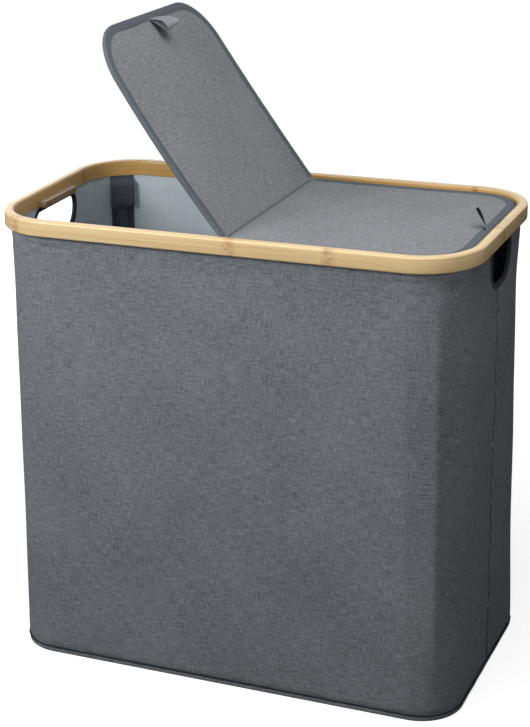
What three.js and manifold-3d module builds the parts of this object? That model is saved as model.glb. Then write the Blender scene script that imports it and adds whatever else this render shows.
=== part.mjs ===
// Laundry hamper with two bins: a bamboo hoop, cloth walls, a divider and two hinged lids.
// Millimetres, +Z up. The origin is on the floor under the middle of the hamper.
// X runs along the length, and the front faces -Y.
import * as THREE from 'three';
import { mergeVertices } from 'three/addons/utils/BufferGeometryUtils.js';
import Module from 'manifold-3d';

const wasm = await Module();
wasm.setup();

// Driving sizes
const rimLength = 620;
const rimDepth = 334;
const rimHeight = 20;
const rimThickness = 13;
const rimCornerRadius = 78;
const hamperHeight = 593;
const baseTuck = 9;
const baseSpread = 1;
const baseCornerRadius = 56;
const clothThickness = 1.5;
const liningThickness = 0.7;
const seamGap = 0.3;
const cutOverrun = 2;

// Hoop and the groove in its underside that holds the hem
const rimEdgeRadius = 2.4;
const rimLipRadius = 0.8;
const hemInset = 8.5;
const hemDepth = 9;

// Grip bars inside the hoop, and their screws
const gripLength = 88;
const gripDepth = 12;
const gripHeight = 9;
const gripCornerRadius = 6;
const gripEdge = 1;
const gripScrewSpacing = 62;
const screwShankRadius = 1.6;
const screwHeadRadius = 3.2;
const screwHeadHeight = 2;
const screwTipLength = 3;
const screwBite = 7.5;

// Handle holes through the ends, and their binding
const handleWidth = 96;
const handleHeight = 44;
const handleDrop = 8;
const handleTopRadius = 10;
const handleBottomRadius = 30;
const bindingTape = 0.7;
const handleFlange = 6;

// Cloth base, welt, floor boards and inner seams
const baseUpstand = 6.2;
const baseEdge = 1.2;
const weltRadius = 1.2;
const weltInset = 0.3;
const floorBoardThickness = 2.5;
const seamTapeWidth = 14;
const seamTapeThickness = 0.6;

// Divider between the bins. It leans from the middle of the floor to the lids' fold, which lies a
// little right of the middle.
const dividerBoardThickness = 3;
const foldOffset = 9;
const hingeWebThickness = 1.2;
const hingeWebShortfall = 1.5;

// Lids
const lidDrop = 4.5;
const lidBoardThickness = 1.6;
const lidClothThickness = 0.6;
const lidEndGap = 3;
const lidSideGap = 1.5;
const lidCornerRadius = 62;
const lidBindingWidth = 11;
const lidBindingTape = 0.6;
const lidBindingStart = 14;
const lidOpenAngle = 54.5;

// Pull tabs on the lids: how far each leans from upright, and how far it is turned on its foot
const tabWidth = 20;
const tabLength = 30;
const tabTape = 1.6;
const tabPoint = 6;
const tabLean = { left: 60, right: 26 };
const tabTurn = { left: 35, right: 20 };

// Support rods in the corners, with caps, sleeves, flaps and patches
const rodRadius = 2.2;
const rodCapRadius = 3;
const rodCapLength = 12;
const rodCapWall = 2.5;
const rodTopDrop = 9;
const rodCornerAngle = 56;
const sleeveHalfWidth = 16;
const sleeveCrownHalf = 5;
const sleeveSlope = 3.5;
const sleeveThickness = 0.7;
const sleeveFlare = 0.7;
const sleeveTopDrop = 26;
const sleeveBottomRise = 25;
const patchThickness = 0.8;
const patchHalfWidth = 6.5;
const patchHeight = 15;
const flapThickness = 0.8;
const flapHalfWidth = 16.5;
const flapLength = 38;
const flapRootDrop = 4;
const flapRootGap = 2.9;
const flapSlopeLength = 6;

// Facets
const cornerSteps = 8;
const edgeSteps = 2;
const roundSides = 16;
const weltSides = 8;
const mergeTolerance = 0.0001;

// Colours and finishes
const bamboo = { color: 0xe8cda0, roughness: 0.5, metalness: 0 };
const greyCloth = { color: 0x6f747b, roughness: 0.95, metalness: 0 };
const lidCloth = { color: 0x878b8f, roughness: 0.95, metalness: 0 };
const silverLining = { color: 0xa5b0b7, roughness: 0.6, metalness: 0 };
const darkTape = { color: 0x5f6975, roughness: 0.9, metalness: 0 };
const fibreBoard = { color: 0x9a7b55, roughness: 0.85, metalness: 0 };
const blackPlastic = { color: 0x1d1e20, roughness: 0.5, metalness: 0 };
const blackNylon = { color: 0x26272a, roughness: 0.95, metalness: 0 };
const greySteel = { color: 0x8d9196, roughness: 0.35, metalness: 1 };

// Heights and places that follow from the sizes above
// The base lies in under the ends of the hoop, and out past its sides.
const baseLength = rimLength - 2 * baseTuck;
const baseDepth = rimDepth + 2 * baseSpread;
const rimUnderside = hamperHeight - rimHeight;
const hemTop = rimUnderside + hemDepth;
const liningOutset = clothThickness + seamGap;
const liningInner = liningOutset + liningThickness;
const hemInnerEdge = hemInset + liningInner + seamGap;
const hemOuterEdge = hemInset - seamGap;
const rimInnerHalfLength = rimLength / 2 - rimThickness;
const rimInnerHalfDepth = rimDepth / 2 - rimThickness;
const weltCentre = baseUpstand + seamGap + weltRadius;
const wallBottom = weltCentre + weltRadius + seamGap;
const baseFloorTop = clothThickness + seamGap;
const floorCoverTop = baseFloorTop + floorBoardThickness + seamGap + liningThickness;
const dividerHalf = dividerBoardThickness / 2 + seamGap + liningThickness;
const lidTop = hamperHeight - lidDrop;
const lidThickness = lidBoardThickness + 2 * (seamGap + lidClothThickness);
const lidBottom = lidTop - lidThickness;
const lidBindingLift = seamGap + lidBindingTape;
const lidBindingBottom = lidBottom - lidBindingLift;
const gripTop = rimUnderside + gripHeight;
const screwHeight = rimUnderside + gripHeight / 2;
const handleTop = rimUnderside - handleDrop;
const handleMiddle = handleTop - handleHeight / 2;
const dividerTop = lidBindingBottom - seamGap;
const hingeRoot = hingeWebThickness / 2 + seamGap;
const rodInset = seamGap + rodCapRadius;

const leftRight = [['left', -1], ['right', 1]];
const frontBack = [['front', -1], ['back', 1]];
const corners = leftRight.flatMap(([end, sx]) => frontBack.map(([face, sy]) => [`${end}_${face}`, sx, sy]));
const quarterTurn = Math.PI / 2;
const hamper = new THREE.Group();

function addPart(name, geometry, finish, parent = hamper) {
  const mesh = new THREE.Mesh(geometry, new THREE.MeshStandardMaterial(finish));
  mesh.name = name;
  parent.add(mesh);
  return mesh;
}

// Triangles over a flat outline, wound the way the outline is.
function capTriangles(plan) {
  const winding = Math.sign(THREE.ShapeUtils.area(plan));
  return THREE.ShapeUtils.triangulateShape(plan, []).map(([a, b, c]) => {
    const turn = THREE.ShapeUtils.area([plan[a], plan[b], plan[c]]);
    return Math.sign(turn) === winding ? [a, b, c] : [a, c, b];
  });
}

function signedVolume(positions, indices) {
  const corner = (index) => new THREE.Vector3().fromArray(positions, 3 * index);
  let total = 0;
  for (let i = 0; i < indices.length; i += 3) {
    const [a, b, c] = [corner(indices[i]), corner(indices[i + 1]), corner(indices[i + 2])];
    total += a.dot(b.cross(c));
  }
  return total;
}

// A closed solid through loops that all have the same number of points. Its first and last loops
// are capped with the given flat outlines, or joined to each other where there are none.
function skin(loops, startPlan, endPlan) {
  const count = loops[0].length;
  const ring = !startPlan;
  const positions = loops.flat().flatMap((point) => [point.x, point.y, point.z]);
  const indices = [];
  const bands = ring ? loops.length : loops.length - 1;
  for (let level = 0; level < bands; level += 1) {
    const here = level * count;
    const above = ((level + 1) % loops.length) * count;
    for (let i = 0; i < count; i += 1) {
      const next = (i + 1) % count;
      indices.push(here + i, here + next, above + next, here + i, above + next, above + i);
    }
  }
  if (!ring) {
    const last = (loops.length - 1) * count;
    capTriangles(startPlan).forEach(([a, b, c]) => indices.push(a, c, b));
    capTriangles(endPlan).forEach(([a, b, c]) => indices.push(last + a, last + b, last + c));
  }
  if (signedVolume(positions, indices) < 0) {
    indices.reverse();
  }
  const geometry = new THREE.BufferGeometry();
  geometry.setAttribute('position', new THREE.Float32BufferAttribute(positions, 3));
  geometry.setIndex(indices);
  geometry.computeVertexNormals();
  return geometry;
}

// A stack of flat outlines, each at its own height.
function loft(levels) {
  const loops = levels.map(({ outline, z }) => outline.map((point) => new THREE.Vector3(point.x, point.y, z)));
  return skin(loops, levels[0].outline, levels.at(-1).outline);
}

// A section of (outward, up) points carried along stations that each have a place and an outward way.
function sweep(stations, section, closed) {
  const loops = stations.map(({ place, out }) => section.map(
    (point) => new THREE.Vector3(place.x + out.x * point.x, place.y + out.y * point.x, point.y),
  ));
  return closed ? skin(loops) : skin(loops, section, section);
}

function toSolid(geometry) {
  const bare = geometry.clone();
  bare.deleteAttribute('normal');
  bare.deleteAttribute('uv');
  const merged = mergeVertices(bare, mergeTolerance);
  return new wasm.Manifold(new wasm.Mesh({
    numProp: 3,
    vertProperties: new Float32Array(merged.attributes.position.array),
    triVerts: new Uint32Array(merged.index.array),
  }));
}

function toGeometry(solid) {
  const mesh = solid.getMesh();
  const geometry = new THREE.BufferGeometry();
  geometry.setAttribute('position', new THREE.Float32BufferAttribute(mesh.vertProperties, 3));
  geometry.setIndex(Array.from(mesh.triVerts));
  geometry.computeVertexNormals();
  return geometry;
}

// The first geometry less all the others.
function cut(geometry, ...tools) {
  return toGeometry(tools.reduce((solid, tool) => solid.subtract(toSolid(tool)), toSolid(geometry)));
}

function arc(centreX, centreY, radius, fromAngle, toAngle, steps) {
  return Array.from({ length: steps + 1 }, (_, i) => {
    const angle = fromAngle + ((toAngle - fromAngle) * i) / steps;
    return new THREE.Vector2(centreX + radius * Math.cos(angle), centreY + radius * Math.sin(angle));
  });
}

// Stations round a rounded rectangle, anticlockwise from its front right corner.
function rectangleStations(halfLength, halfDepth, radius, turns = [0, 1, 2, 3]) {
  return turns.flatMap((turn) => {
    const startAngle = (turn - 1) * quarterTurn;
    const signX = turn < 2 ? 1 : -1;
    const signY = turn === 1 || turn === 2 ? 1 : -1;
    const centreX = signX * (halfLength - radius);
    const centreY = signY * (halfDepth - radius);
    const outs = arc(0, 0, 1, startAngle, startAngle + quarterTurn, cornerSteps);
    return outs.map((out) => ({
      place: new THREE.Vector2(centreX + radius * out.x, centreY + radius * out.y),
      out,
    }));
  });
}

// Outer face of the cloth body at a height. It runs straight from the floor to the hoop.
function bodySize(z) {
  const share = Math.min(z / rimUnderside, 1);
  return {
    halfLength: THREE.MathUtils.lerp(baseLength / 2, rimLength / 2 - hemInset, share),
    halfDepth: THREE.MathUtils.lerp(baseDepth / 2, rimDepth / 2 - hemInset, share),
    radius: THREE.MathUtils.lerp(baseCornerRadius, rimCornerRadius - hemInset, share),
  };
}

function bodyOutline(z, inset, turns) {
  const size = bodySize(z);
  const stations = rectangleStations(size.halfLength - inset, size.halfDepth - inset, size.radius - inset, turns);
  return stations.map((station) => station.place);
}

const turnedRound = (outline) => outline.map((point) => point.clone().negate());

// The half of the body outline in front of the end seams, from the left seam to the right one.
function frontHalf(z, inset) {
  const halfLength = bodySize(z).halfLength - inset;
  const seam = -seamGap / 2;
  return [
    new THREE.Vector2(-halfLength, seam),
    ...bodyOutline(z, inset, [3, 0]),
    new THREE.Vector2(halfLength, seam),
  ];
}

// The body outline of the right bin, from the divider round to the divider.
function rightBin(z, inset, startX) {
  const halfDepth = bodySize(z).halfDepth - inset;
  return [
    new THREE.Vector2(startX, -halfDepth),
    ...bodyOutline(z, inset, [0, 1]),
    new THREE.Vector2(startX, halfDepth),
  ];
}

// Lays a shape drawn in Y and Z down as a slab from one X to another.
const alongX = new THREE.Matrix4().makeBasis(
  new THREE.Vector3(0, 1, 0),
  new THREE.Vector3(0, 0, 1),
  new THREE.Vector3(1, 0, 0),
);

function slabAlongX(shape, fromX, toX) {
  const slab = new THREE.ExtrudeGeometry(shape, {
    depth: toX - fromX,
    bevelEnabled: false,
    curveSegments: cornerSteps,
  });
  return slab.applyMatrix4(alongX).translate(fromX, 0, 0);
}

function plate(outline, bottom, top) {
  const slab = new THREE.ExtrudeGeometry(new THREE.Shape(outline), { depth: top - bottom, bevelEnabled: false });
  return slab.translate(0, 0, bottom);
}

// Hoop

function rimSection() {
  const low = rimUnderside;
  const high = hamperHeight;
  const inner = -rimThickness;
  const soft = rimEdgeRadius;
  const lip = rimLipRadius;
  return [
    new THREE.Vector2(-hemOuterEdge, low),
    ...arc(-soft, low + soft, soft, -quarterTurn, 0, edgeSteps),
    ...arc(-soft, high - soft, soft, 0, quarterTurn, edgeSteps),
    ...arc(inner + soft, high - soft, soft, quarterTurn, 2 * quarterTurn, edgeSteps),
    ...arc(inner + lip, low + lip, lip, 2 * quarterTurn, 3 * quarterTurn, edgeSteps),
    new THREE.Vector2(-hemInnerEdge, low),
    new THREE.Vector2(-hemInnerEdge, hemTop + seamGap),
    new THREE.Vector2(-hemOuterEdge, hemTop + seamGap),
  ];
}

// Screws run outwards along X from the grip bar's inner face.
const gripInnerX = rimInnerHalfLength - seamGap - gripDepth;
const screwTipX = rimInnerHalfLength + screwBite;

function screwPlaces(signX) {
  return frontBack.map(([face, signY]) => ({ face, signX, y: (signY * gripScrewSpacing) / 2 }));
}

function placeScrew(geometry, { signX, y }) {
  const pointsOut = new THREE.Matrix4().makeRotationZ(-signX * quarterTurn);
  return geometry.applyMatrix4(pointsOut).translate(signX * gripInnerX, y, screwHeight);
}

function lathe(points, sides = roundSides) {
  return new THREE.LatheGeometry(points.map(([radius, along]) => new THREE.Vector2(radius, along)), sides);
}

function screwShape() {
  const length = screwTipX - gripInnerX;
  return lathe([
    [0, 0],
    [screwHeadRadius, 0],
    [screwHeadRadius, screwHeadHeight],
    [screwShankRadius, screwHeadHeight],
    [screwShankRadius, length - screwTipLength],
    [0, length],
  ]);
}

function screwHole() {
  const length = screwTipX - gripInnerX + seamGap;
  const shank = screwShankRadius + seamGap;
  const head = screwHeadRadius + seamGap;
  return lathe([
    [0, -cutOverrun],
    [head, -cutOverrun],
    [head, screwHeadHeight + seamGap],
    [shank, screwHeadHeight + seamGap],
    [shank, length],
    [0, length],
  ]);
}

const allScrewHoles = () => leftRight.flatMap(([, signX]) => screwPlaces(signX).map(
  (place) => placeScrew(screwHole(), place),
));

function rimHoop() {
  const stations = rectangleStations(rimLength / 2, rimDepth / 2, rimCornerRadius);
  return cut(sweep(stations, rimSection(), true), ...allScrewHoles());
}

// Drawn for the right end, with its flat back against the hoop.
function gripOutline() {
  const half = gripLength / 2 - gripEdge;
  const back = gripDepth - gripEdge;
  const radius = gripCornerRadius - gripEdge;
  return [
    new THREE.Vector2(back, -half),
    new THREE.Vector2(back, half),
    ...arc(gripEdge + radius, half - radius, radius, quarterTurn, 2 * quarterTurn, cornerSteps / 2),
    ...arc(gripEdge + radius, -half + radius, radius, 2 * quarterTurn, 3 * quarterTurn, cornerSteps / 2),
  ];
}

function gripBar(signX) {
  const bar = new THREE.ExtrudeGeometry(new THREE.Shape(gripOutline()), {
    depth: gripHeight - 2 * gripEdge,
    bevelSize: gripEdge,
    bevelThickness: gripEdge,
    bevelSegments: edgeSteps,
  });
  bar.translate(gripInnerX, 0, rimUnderside + gripEdge);
  if (signX < 0) {
    bar.rotateZ(2 * quarterTurn);
  }
  return cut(bar, ...screwPlaces(signX).map((place) => placeScrew(screwHole(), place)));
}

addPart('rim_hoop', rimHoop(), bamboo);
leftRight.forEach(([end, signX]) => {
  addPart(`grip_bar_${end}`, gripBar(signX), bamboo);
  screwPlaces(signX).forEach((place) => {
    addPart(`grip_screw_${end}_${place.face}`, placeScrew(screwShape(), place), greySteel);
  });
});

// Handle holes: flat at the top, and round at the bottom

function handleShape(grow) {
  const half = handleWidth / 2 + grow;
  const top = handleTop + grow;
  const bottom = handleTop - handleHeight - grow;
  const small = handleTopRadius + grow;
  const large = handleBottomRadius + grow;
  return new THREE.Shape([
    ...arc(half - small, top - small, small, 0, quarterTurn, cornerSteps),
    ...arc(-half + small, top - small, small, quarterTurn, 2 * quarterTurn, cornerSteps),
    ...arc(-half + large, bottom + large, large, 2 * quarterTurn, 3 * quarterTurn, cornerSteps),
    ...arc(half - large, bottom + large, large, 3 * quarterTurn, 4 * quarterTurn, cornerSteps),
  ]);
}

const handleCut = slabAlongX(handleShape(bindingTape + seamGap), -rimLength / 2, rimLength / 2);

function handleBinding(signX) {
  const outerX = bodySize(handleMiddle).halfLength + seamGap;
  const innerX = outerX - liningInner - 2 * seamGap;
  const span = (low, high) => (signX > 0 ? [low, high] : [-high, -low]);
  const flanges = slabAlongX(handleShape(handleFlange), ...span(innerX - bindingTape, outerX + bindingTape));
  const hole = slabAlongX(handleShape(0), ...span(innerX - cutOverrun, outerX + cutOverrun));
  const outside = handleShape(handleFlange + cutOverrun);
  outside.holes.push(handleShape(bindingTape));
  return cut(flanges, hole, slabAlongX(outside, ...span(innerX, outerX)));
}

leftRight.forEach(([end, signX]) => {
  addPart(`handle_binding_${end}`, handleBinding(signX), darkTape);
});

// Walls and lining: a front and a back panel each, meeting at the end seams

function panel(outerInset, thickness, bottom) {
  return [bottom, rimUnderside, hemTop].map((z) => ({
    z,
    outline: [...frontHalf(z, outerInset), ...frontHalf(z, outerInset + thickness).reverse()],
  }));
}

function addPanels(kind, outerInset, thickness, bottom, finish) {
  const front = panel(outerInset, thickness, bottom);
  const back = front.map(({ z, outline }) => ({ z, outline: turnedRound(outline) }));
  const holes = [handleCut, ...allScrewHoles()];
  addPart(`${kind}_front`, cut(loft(front), ...holes), finish);
  addPart(`${kind}_back`, cut(loft(back), ...holes), finish);
}

addPanels('wall', 0, clothThickness, wallBottom, greyCloth);
addPanels('lining', liningOutset, liningThickness, baseFloorTop, silverLining);

// Cloth base, welt, floor boards and the tapes over the lining's seams

function stackOf(levels) {
  return loft(levels.map(([z, inset]) => ({ z, outline: bodyOutline(z, inset) })));
}

addPart('base_cover', stackOf([
  [0, baseEdge],
  [baseEdge, 0],
  [baseUpstand, 0],
  [baseUpstand, clothThickness],
  [clothThickness, clothThickness],
]), greyCloth);

function baseWelt() {
  const size = bodySize(weltCentre);
  const stations = rectangleStations(size.halfLength, size.halfDepth, size.radius);
  const round = arc(-weltInset, weltCentre, weltRadius, 0, 4 * quarterTurn, weltSides).slice(0, weltSides);
  return sweep(stations, round, true);
}

addPart('base_welt', baseWelt(), darkTape);

const floorEdge = liningInner + seamGap;
const floorBoardEdge = floorEdge + liningThickness + seamGap;
const floorStart = dividerHalf + seamGap;
const floorBoardStart = floorStart + liningThickness + seamGap;
const floorBoardTop = baseFloorTop + floorBoardThickness;

// The lining cover over a floor board: a top with a skirt down round its edge.
function floorCover(turned) {
  const under = floorCoverTop - liningThickness;
  const levels = [
    { z: under, outline: rightBin(under, floorEdge + liningThickness, floorStart + liningThickness) },
    { z: baseFloorTop, outline: rightBin(baseFloorTop, floorEdge + liningThickness, floorStart + liningThickness) },
    { z: baseFloorTop, outline: rightBin(baseFloorTop, floorEdge, floorStart) },
    { z: floorCoverTop, outline: rightBin(floorCoverTop, floorEdge, floorStart) },
  ];
  return loft(levels.map(({ z, outline }) => ({ z, outline: turned(outline) })));
}

function floorBoard(turned) {
  return loft([baseFloorTop, floorBoardTop].map((z) => ({
    z,
    outline: turned(rightBin(z, floorBoardEdge, floorBoardStart)),
  })));
}

leftRight.forEach(([end, signX]) => {
  const turned = signX > 0 ? (outline) => outline : turnedRound;
  addPart(`floor_board_${end}`, floorBoard(turned), fibreBoard);
  addPart(`floor_cover_${end}`, floorCover(turned), silverLining);
});

function seamTape(signX) {
  const bottom = floorCoverTop + seamGap;
  const top = handleTop - handleHeight - handleFlange - seamGap;
  const half = seamTapeWidth / 2;
  const outline = (z) => {
    const outer = signX * (bodySize(z).halfLength - liningInner - seamGap);
    const inner = outer - signX * seamTapeThickness;
    return [[outer, -half], [outer, half], [inner, half], [inner, -half]].map(
      ([x, y]) => new THREE.Vector2(x, y),
    );
  };
  return loft([{ z: bottom, outline: outline(bottom) }, { z: top, outline: outline(top) }]);
}

leftRight.forEach(([end, signX]) => {
  addPart(`seam_tape_${end}`, seamTape(signX), silverLining);
});

// Divider: a board in a cloth sleeve that is open at the bottom, and the web up to the lids' fold

function dividerShape(shrink, bottom) {
  const shoulder = rimUnderside - seamGap - shrink;
  const neck = rimInnerHalfDepth - seamGap - shrink;
  const halfDepth = (z) => bodySize(z).halfDepth - liningInner - seamGap - shrink;
  const top = dividerTop - shrink;
  const side = [[halfDepth(bottom), bottom], [halfDepth(shoulder), shoulder], [neck, shoulder], [neck, top]];
  const mirrored = side.map(([y, z]) => [-y, z]).reverse();
  return new THREE.Shape([...side, ...mirrored].map(([y, z]) => new THREE.Vector2(y, z)));
}

function leanToFold(geometry) {
  const slope = foldOffset / (dividerTop - baseFloorTop);
  const lean = new THREE.Matrix4().set(
    1, 0, slope, -slope * baseFloorTop,
    0, 1, 0, 0,
    0, 0, 1, 0,
    0, 0, 0, 1,
  );
  return geometry.applyMatrix4(lean);
}

const pocketHalf = dividerBoardThickness / 2 + seamGap;
const boardHalf = dividerBoardThickness / 2;
addPart('divider_board', leanToFold(slabAlongX(
  dividerShape(liningThickness + seamGap, baseFloorTop),
  -boardHalf,
  boardHalf,
)), fibreBoard);
addPart('divider_cover', leanToFold(cut(
  slabAlongX(dividerShape(0, baseFloorTop), -dividerHalf, dividerHalf),
  slabAlongX(dividerShape(liningThickness, baseFloorTop - cutOverrun), -pocketHalf, pocketHalf),
)), silverLining);

function hingeWeb() {
  const half = rimInnerHalfDepth - hingeWebShortfall;
  const bottom = dividerTop + seamGap;
  const top = lidTop - seamGap;
  const shape = new THREE.Shape([[-half, bottom], [half, bottom], [half, top], [-half, top]].map(
    ([y, z]) => new THREE.Vector2(y, z),
  ));
  return slabAlongX(shape, foldOffset - hingeWebThickness / 2, foldOffset + hingeWebThickness / 2);
}

addPart('lid_hinge_web', hingeWeb(), lidCloth);

// Lids, each drawn shut on the right with the fold at X = 0, and then placed at the fold

const lidEnd = rimInnerHalfLength - lidEndGap - foldOffset;
const lidHalfWidth = rimInnerHalfDepth - lidSideGap;
const lidCoreInset = lidBindingTape + seamGap;

function lidOutline(startX, shrink) {
  const half = lidHalfWidth - shrink;
  const end = lidEnd - shrink;
  const radius = lidCornerRadius - shrink;
  return [
    new THREE.Vector2(startX, -half),
    ...arc(end - radius, -half + radius, radius, -quarterTurn, 0, cornerSteps),
    ...arc(end - radius, half - radius, radius, 0, quarterTurn, cornerSteps),
    new THREE.Vector2(startX, half),
  ];
}

function lidBoard() {
  const start = hingeRoot + lidClothThickness + seamGap;
  const bottom = lidBottom + lidClothThickness + seamGap;
  return plate(lidOutline(start, lidCoreInset), bottom, bottom + lidBoardThickness);
}

// The cover is one cloth folded round the board at the hinge and open on the bound edges.
function lidCover() {
  const pocket = lidOutline(hingeRoot + lidClothThickness, -cutOverrun);
  return cut(
    plate(lidOutline(hingeRoot, lidCoreInset), lidBottom, lidTop),
    plate(pocket, lidBottom + lidClothThickness, lidTop - lidClothThickness),
  );
}

// The binding is a folded tape round the front, free and back edges.
function lidBinding() {
  const inner = -lidBindingWidth;
  const web = -lidBindingTape;
  const low = lidBindingBottom;
  const high = lidTop + lidBindingLift;
  const section = [
    [inner, low],
    [0, low],
    [0, high],
    [inner, high],
    [inner, high - lidBindingTape],
    [web, high - lidBindingTape],
    [web, low + lidBindingTape],
    [inner, low + lidBindingTape],
  ].map(([out, up]) => new THREE.Vector2(out, up));
  const front = new THREE.Vector2(0, -1);
  const back = new THREE.Vector2(0, 1);
  const stations = [
    { place: new THREE.Vector2(lidBindingStart, -lidHalfWidth), out: front },
    ...rectangleStations(lidEnd, lidHalfWidth, lidCornerRadius, [0, 1]),
    { place: new THREE.Vector2(lidBindingStart, lidHalfWidth), out: back },
  ];
  return sweep(stations, section, false);
}

// The pull tab is a ribbon folded to a blunt point. It is sewn down by its foot, and leans towards
// the fold.
function lidTab(end) {
  const half = tabWidth / 2;
  const shape = new THREE.Shape([
    [-half, 0],
    [half, 0],
    [half, tabLength - tabPoint],
    [0, tabLength],
    [-half, tabLength - tabPoint],
  ].map(([y, z]) => new THREE.Vector2(y, z)));
  const lean = THREE.MathUtils.degToRad(tabLean[end]);
  const turn = THREE.MathUtils.degToRad(tabTurn[end]);
  const tab = slabAlongX(shape, -tabTape / 2, tabTape / 2);
  tab.rotateY(-lean);
  tab.rotateZ(turn);
  const inset = lidBindingWidth + seamGap + tabTape / 2 + half * Math.sin(turn);
  return tab.translate(lidEnd - inset, 0, lidTop + seamGap + (tabTape / 2) * Math.sin(lean));
}

leftRight.forEach(([end, signX]) => {
  const lid = new THREE.Group();
  const openAngle = signX < 0 ? THREE.MathUtils.degToRad(lidOpenAngle) : 0;
  lid.position.set(foldOffset, 0, lidTop);
  lid.rotation.order = 'ZYX';
  lid.rotation.z = signX < 0 ? 2 * quarterTurn : 0;
  lid.rotation.y = -openAngle;
  hamper.add(lid);
  const pieces = [
    ['board', lidBoard(), fibreBoard],
    ['cover', lidCover(), lidCloth],
    ['binding', lidBinding(), darkTape],
    ['tab', lidTab(end), lidCloth],
  ];
  pieces.forEach(([piece, geometry, finish]) => {
    addPart(`lid_${piece}_${end}`, geometry.translate(0, 0, -lidTop), finish, lid);
  });
});

// Support rods up the corners. Places are an arc distance round the corner, a distance in from the
// lining and a height, for the back right corner.

const rodAngle = THREE.MathUtils.degToRad(rodCornerAngle);

function cornerPlace(along, inward, z) {
  const size = bodySize(z);
  const radius = size.radius - liningInner;
  const angle = rodAngle + along / radius;
  return new THREE.Vector3(
    size.halfLength - size.radius + (radius - inward) * Math.cos(angle),
    size.halfDepth - size.radius + (radius - inward) * Math.sin(angle),
    z,
  );
}

const rodBottom = floorCoverTop + seamGap;
const rodTop = rimUnderside - rodTopDrop;
const sleeveTop = rimUnderside - sleeveTopDrop;
const sleeveBottom = floorCoverTop + sleeveBottomRise;
const rodAxis = cornerPlace(0, rodInset, rodTop).sub(cornerPlace(0, rodInset, rodBottom));
const rodLength = rodAxis.length();
const rodLean = rodAxis.clone().normalize();
const rodTurn = new THREE.Quaternion().setFromUnitVectors(new THREE.Vector3(0, 1, 0), rodLean);

// A turned piece whose own axis lies on the rod, measured from the rod's foot.
function onRod(geometry, from) {
  const foot = cornerPlace(0, rodInset, rodBottom).addScaledVector(rodLean, from);
  return geometry.applyQuaternion(rodTurn).translate(foot.x, foot.y, foot.z);
}

function rod() {
  const length = rodLength - 2 * (rodCapWall + seamGap);
  return onRod(lathe([[0, 0], [rodRadius, 0], [rodRadius, length], [0, length]]), rodCapWall + seamGap);
}

function rodCap(atTop) {
  const bore = rodRadius + seamGap;
  const cap = lathe([
    [0, 0],
    [rodCapRadius, 0],
    [rodCapRadius, rodCapLength],
    [bore, rodCapLength],
    [bore, rodCapWall],
    [0, rodCapWall],
  ]);
  if (atTop) {
    cap.rotateX(2 * quarterTurn);
  }
  return onRod(cap, atTop ? rodLength : 0);
}

// The sleeve lies flat on the lining beside the rod and stands off over it.
const crownInward = rodInset + rodRadius + seamGap;

function rodSleeve() {
  const back = [
    [-sleeveHalfWidth, seamGap],
    [-sleeveCrownHalf - sleeveSlope, seamGap],
    [-sleeveCrownHalf, crownInward],
    [sleeveCrownHalf, crownInward],
    [sleeveCrownHalf + sleeveSlope, seamGap],
    [sleeveHalfWidth, seamGap],
  ];
  const front = back.map(([along, inward]) => {
    const flare = Math.abs(along) < sleeveHalfWidth ? Math.sign(along) * sleeveFlare : 0;
    return [along + flare, inward + sleeveThickness];
  });
  const section = [...back, ...front.reverse()];
  const loops = [sleeveBottom, sleeveTop].map(
    (z) => section.map(([along, inward]) => cornerPlace(along, inward, z)),
  );
  const plans = loops.map((loop) => loop.map((point) => new THREE.Vector2(point.x, point.y)));
  return skin(loops, plans[0], plans[1]);
}

// Flap and patches are drawn flat, as (inward, up) from the lining at the flap's root.
const flapRoot = cornerPlace(0, 0, rimUnderside - flapRootDrop);
const liningLean = flapRoot.clone().sub(cornerPlace(0, 0, sleeveBottom)).normalize();
const across = new THREE.Vector3(Math.sin(rodAngle), -Math.cos(rodAngle), 0);
const inwards = new THREE.Vector3().crossVectors(across, liningLean);
const loopPatchInward = crownInward + sleeveThickness + seamGap;
const hookPatchInward = loopPatchInward + patchThickness + seamGap;
const flapInward = hookPatchInward + patchThickness + seamGap;
const patchTop = sleeveTop - (rimUnderside - flapRootDrop) - seamGap;

function acrossCorner(points, halfWidth) {
  const shape = new THREE.Shape(points.map(([inward, up]) => new THREE.Vector2(inward, up)));
  const slab = new THREE.ExtrudeGeometry(shape, { depth: 2 * halfWidth, bevelEnabled: false });
  slab.translate(0, 0, -halfWidth);
  slab.applyMatrix4(new THREE.Matrix4().makeBasis(inwards, liningLean, across.clone().negate()));
  return slab.translate(flapRoot.x, flapRoot.y, flapRoot.z);
}

function patch(inward) {
  return acrossCorner([
    [inward, patchTop - patchHeight],
    [inward + patchThickness, patchTop - patchHeight],
    [inward + patchThickness, patchTop],
    [inward, patchTop],
  ], patchHalfWidth);
}

function rodFlap() {
  return acrossCorner([
    [flapRootGap, 0],
    [flapInward, -flapSlopeLength],
    [flapInward, -flapLength],
    [flapInward + flapThickness, -flapLength],
    [flapInward + flapThickness, -flapSlopeLength],
    [flapRootGap + flapThickness, 0],
  ], flapHalfWidth);
}

// Mirrors a corner piece from the back right corner into another corner.
function intoCorner(geometry, signX, signY) {
  const mirrored = geometry.clone().scale(signX, signY, 1);
  if (signX * signY < 0) {
    const whole = mergeVertices(mirrored, mergeTolerance);
    const index = Array.from(whole.index.array).reverse();
    whole.setIndex(index);
    return whole;
  }
  return mirrored;
}

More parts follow.
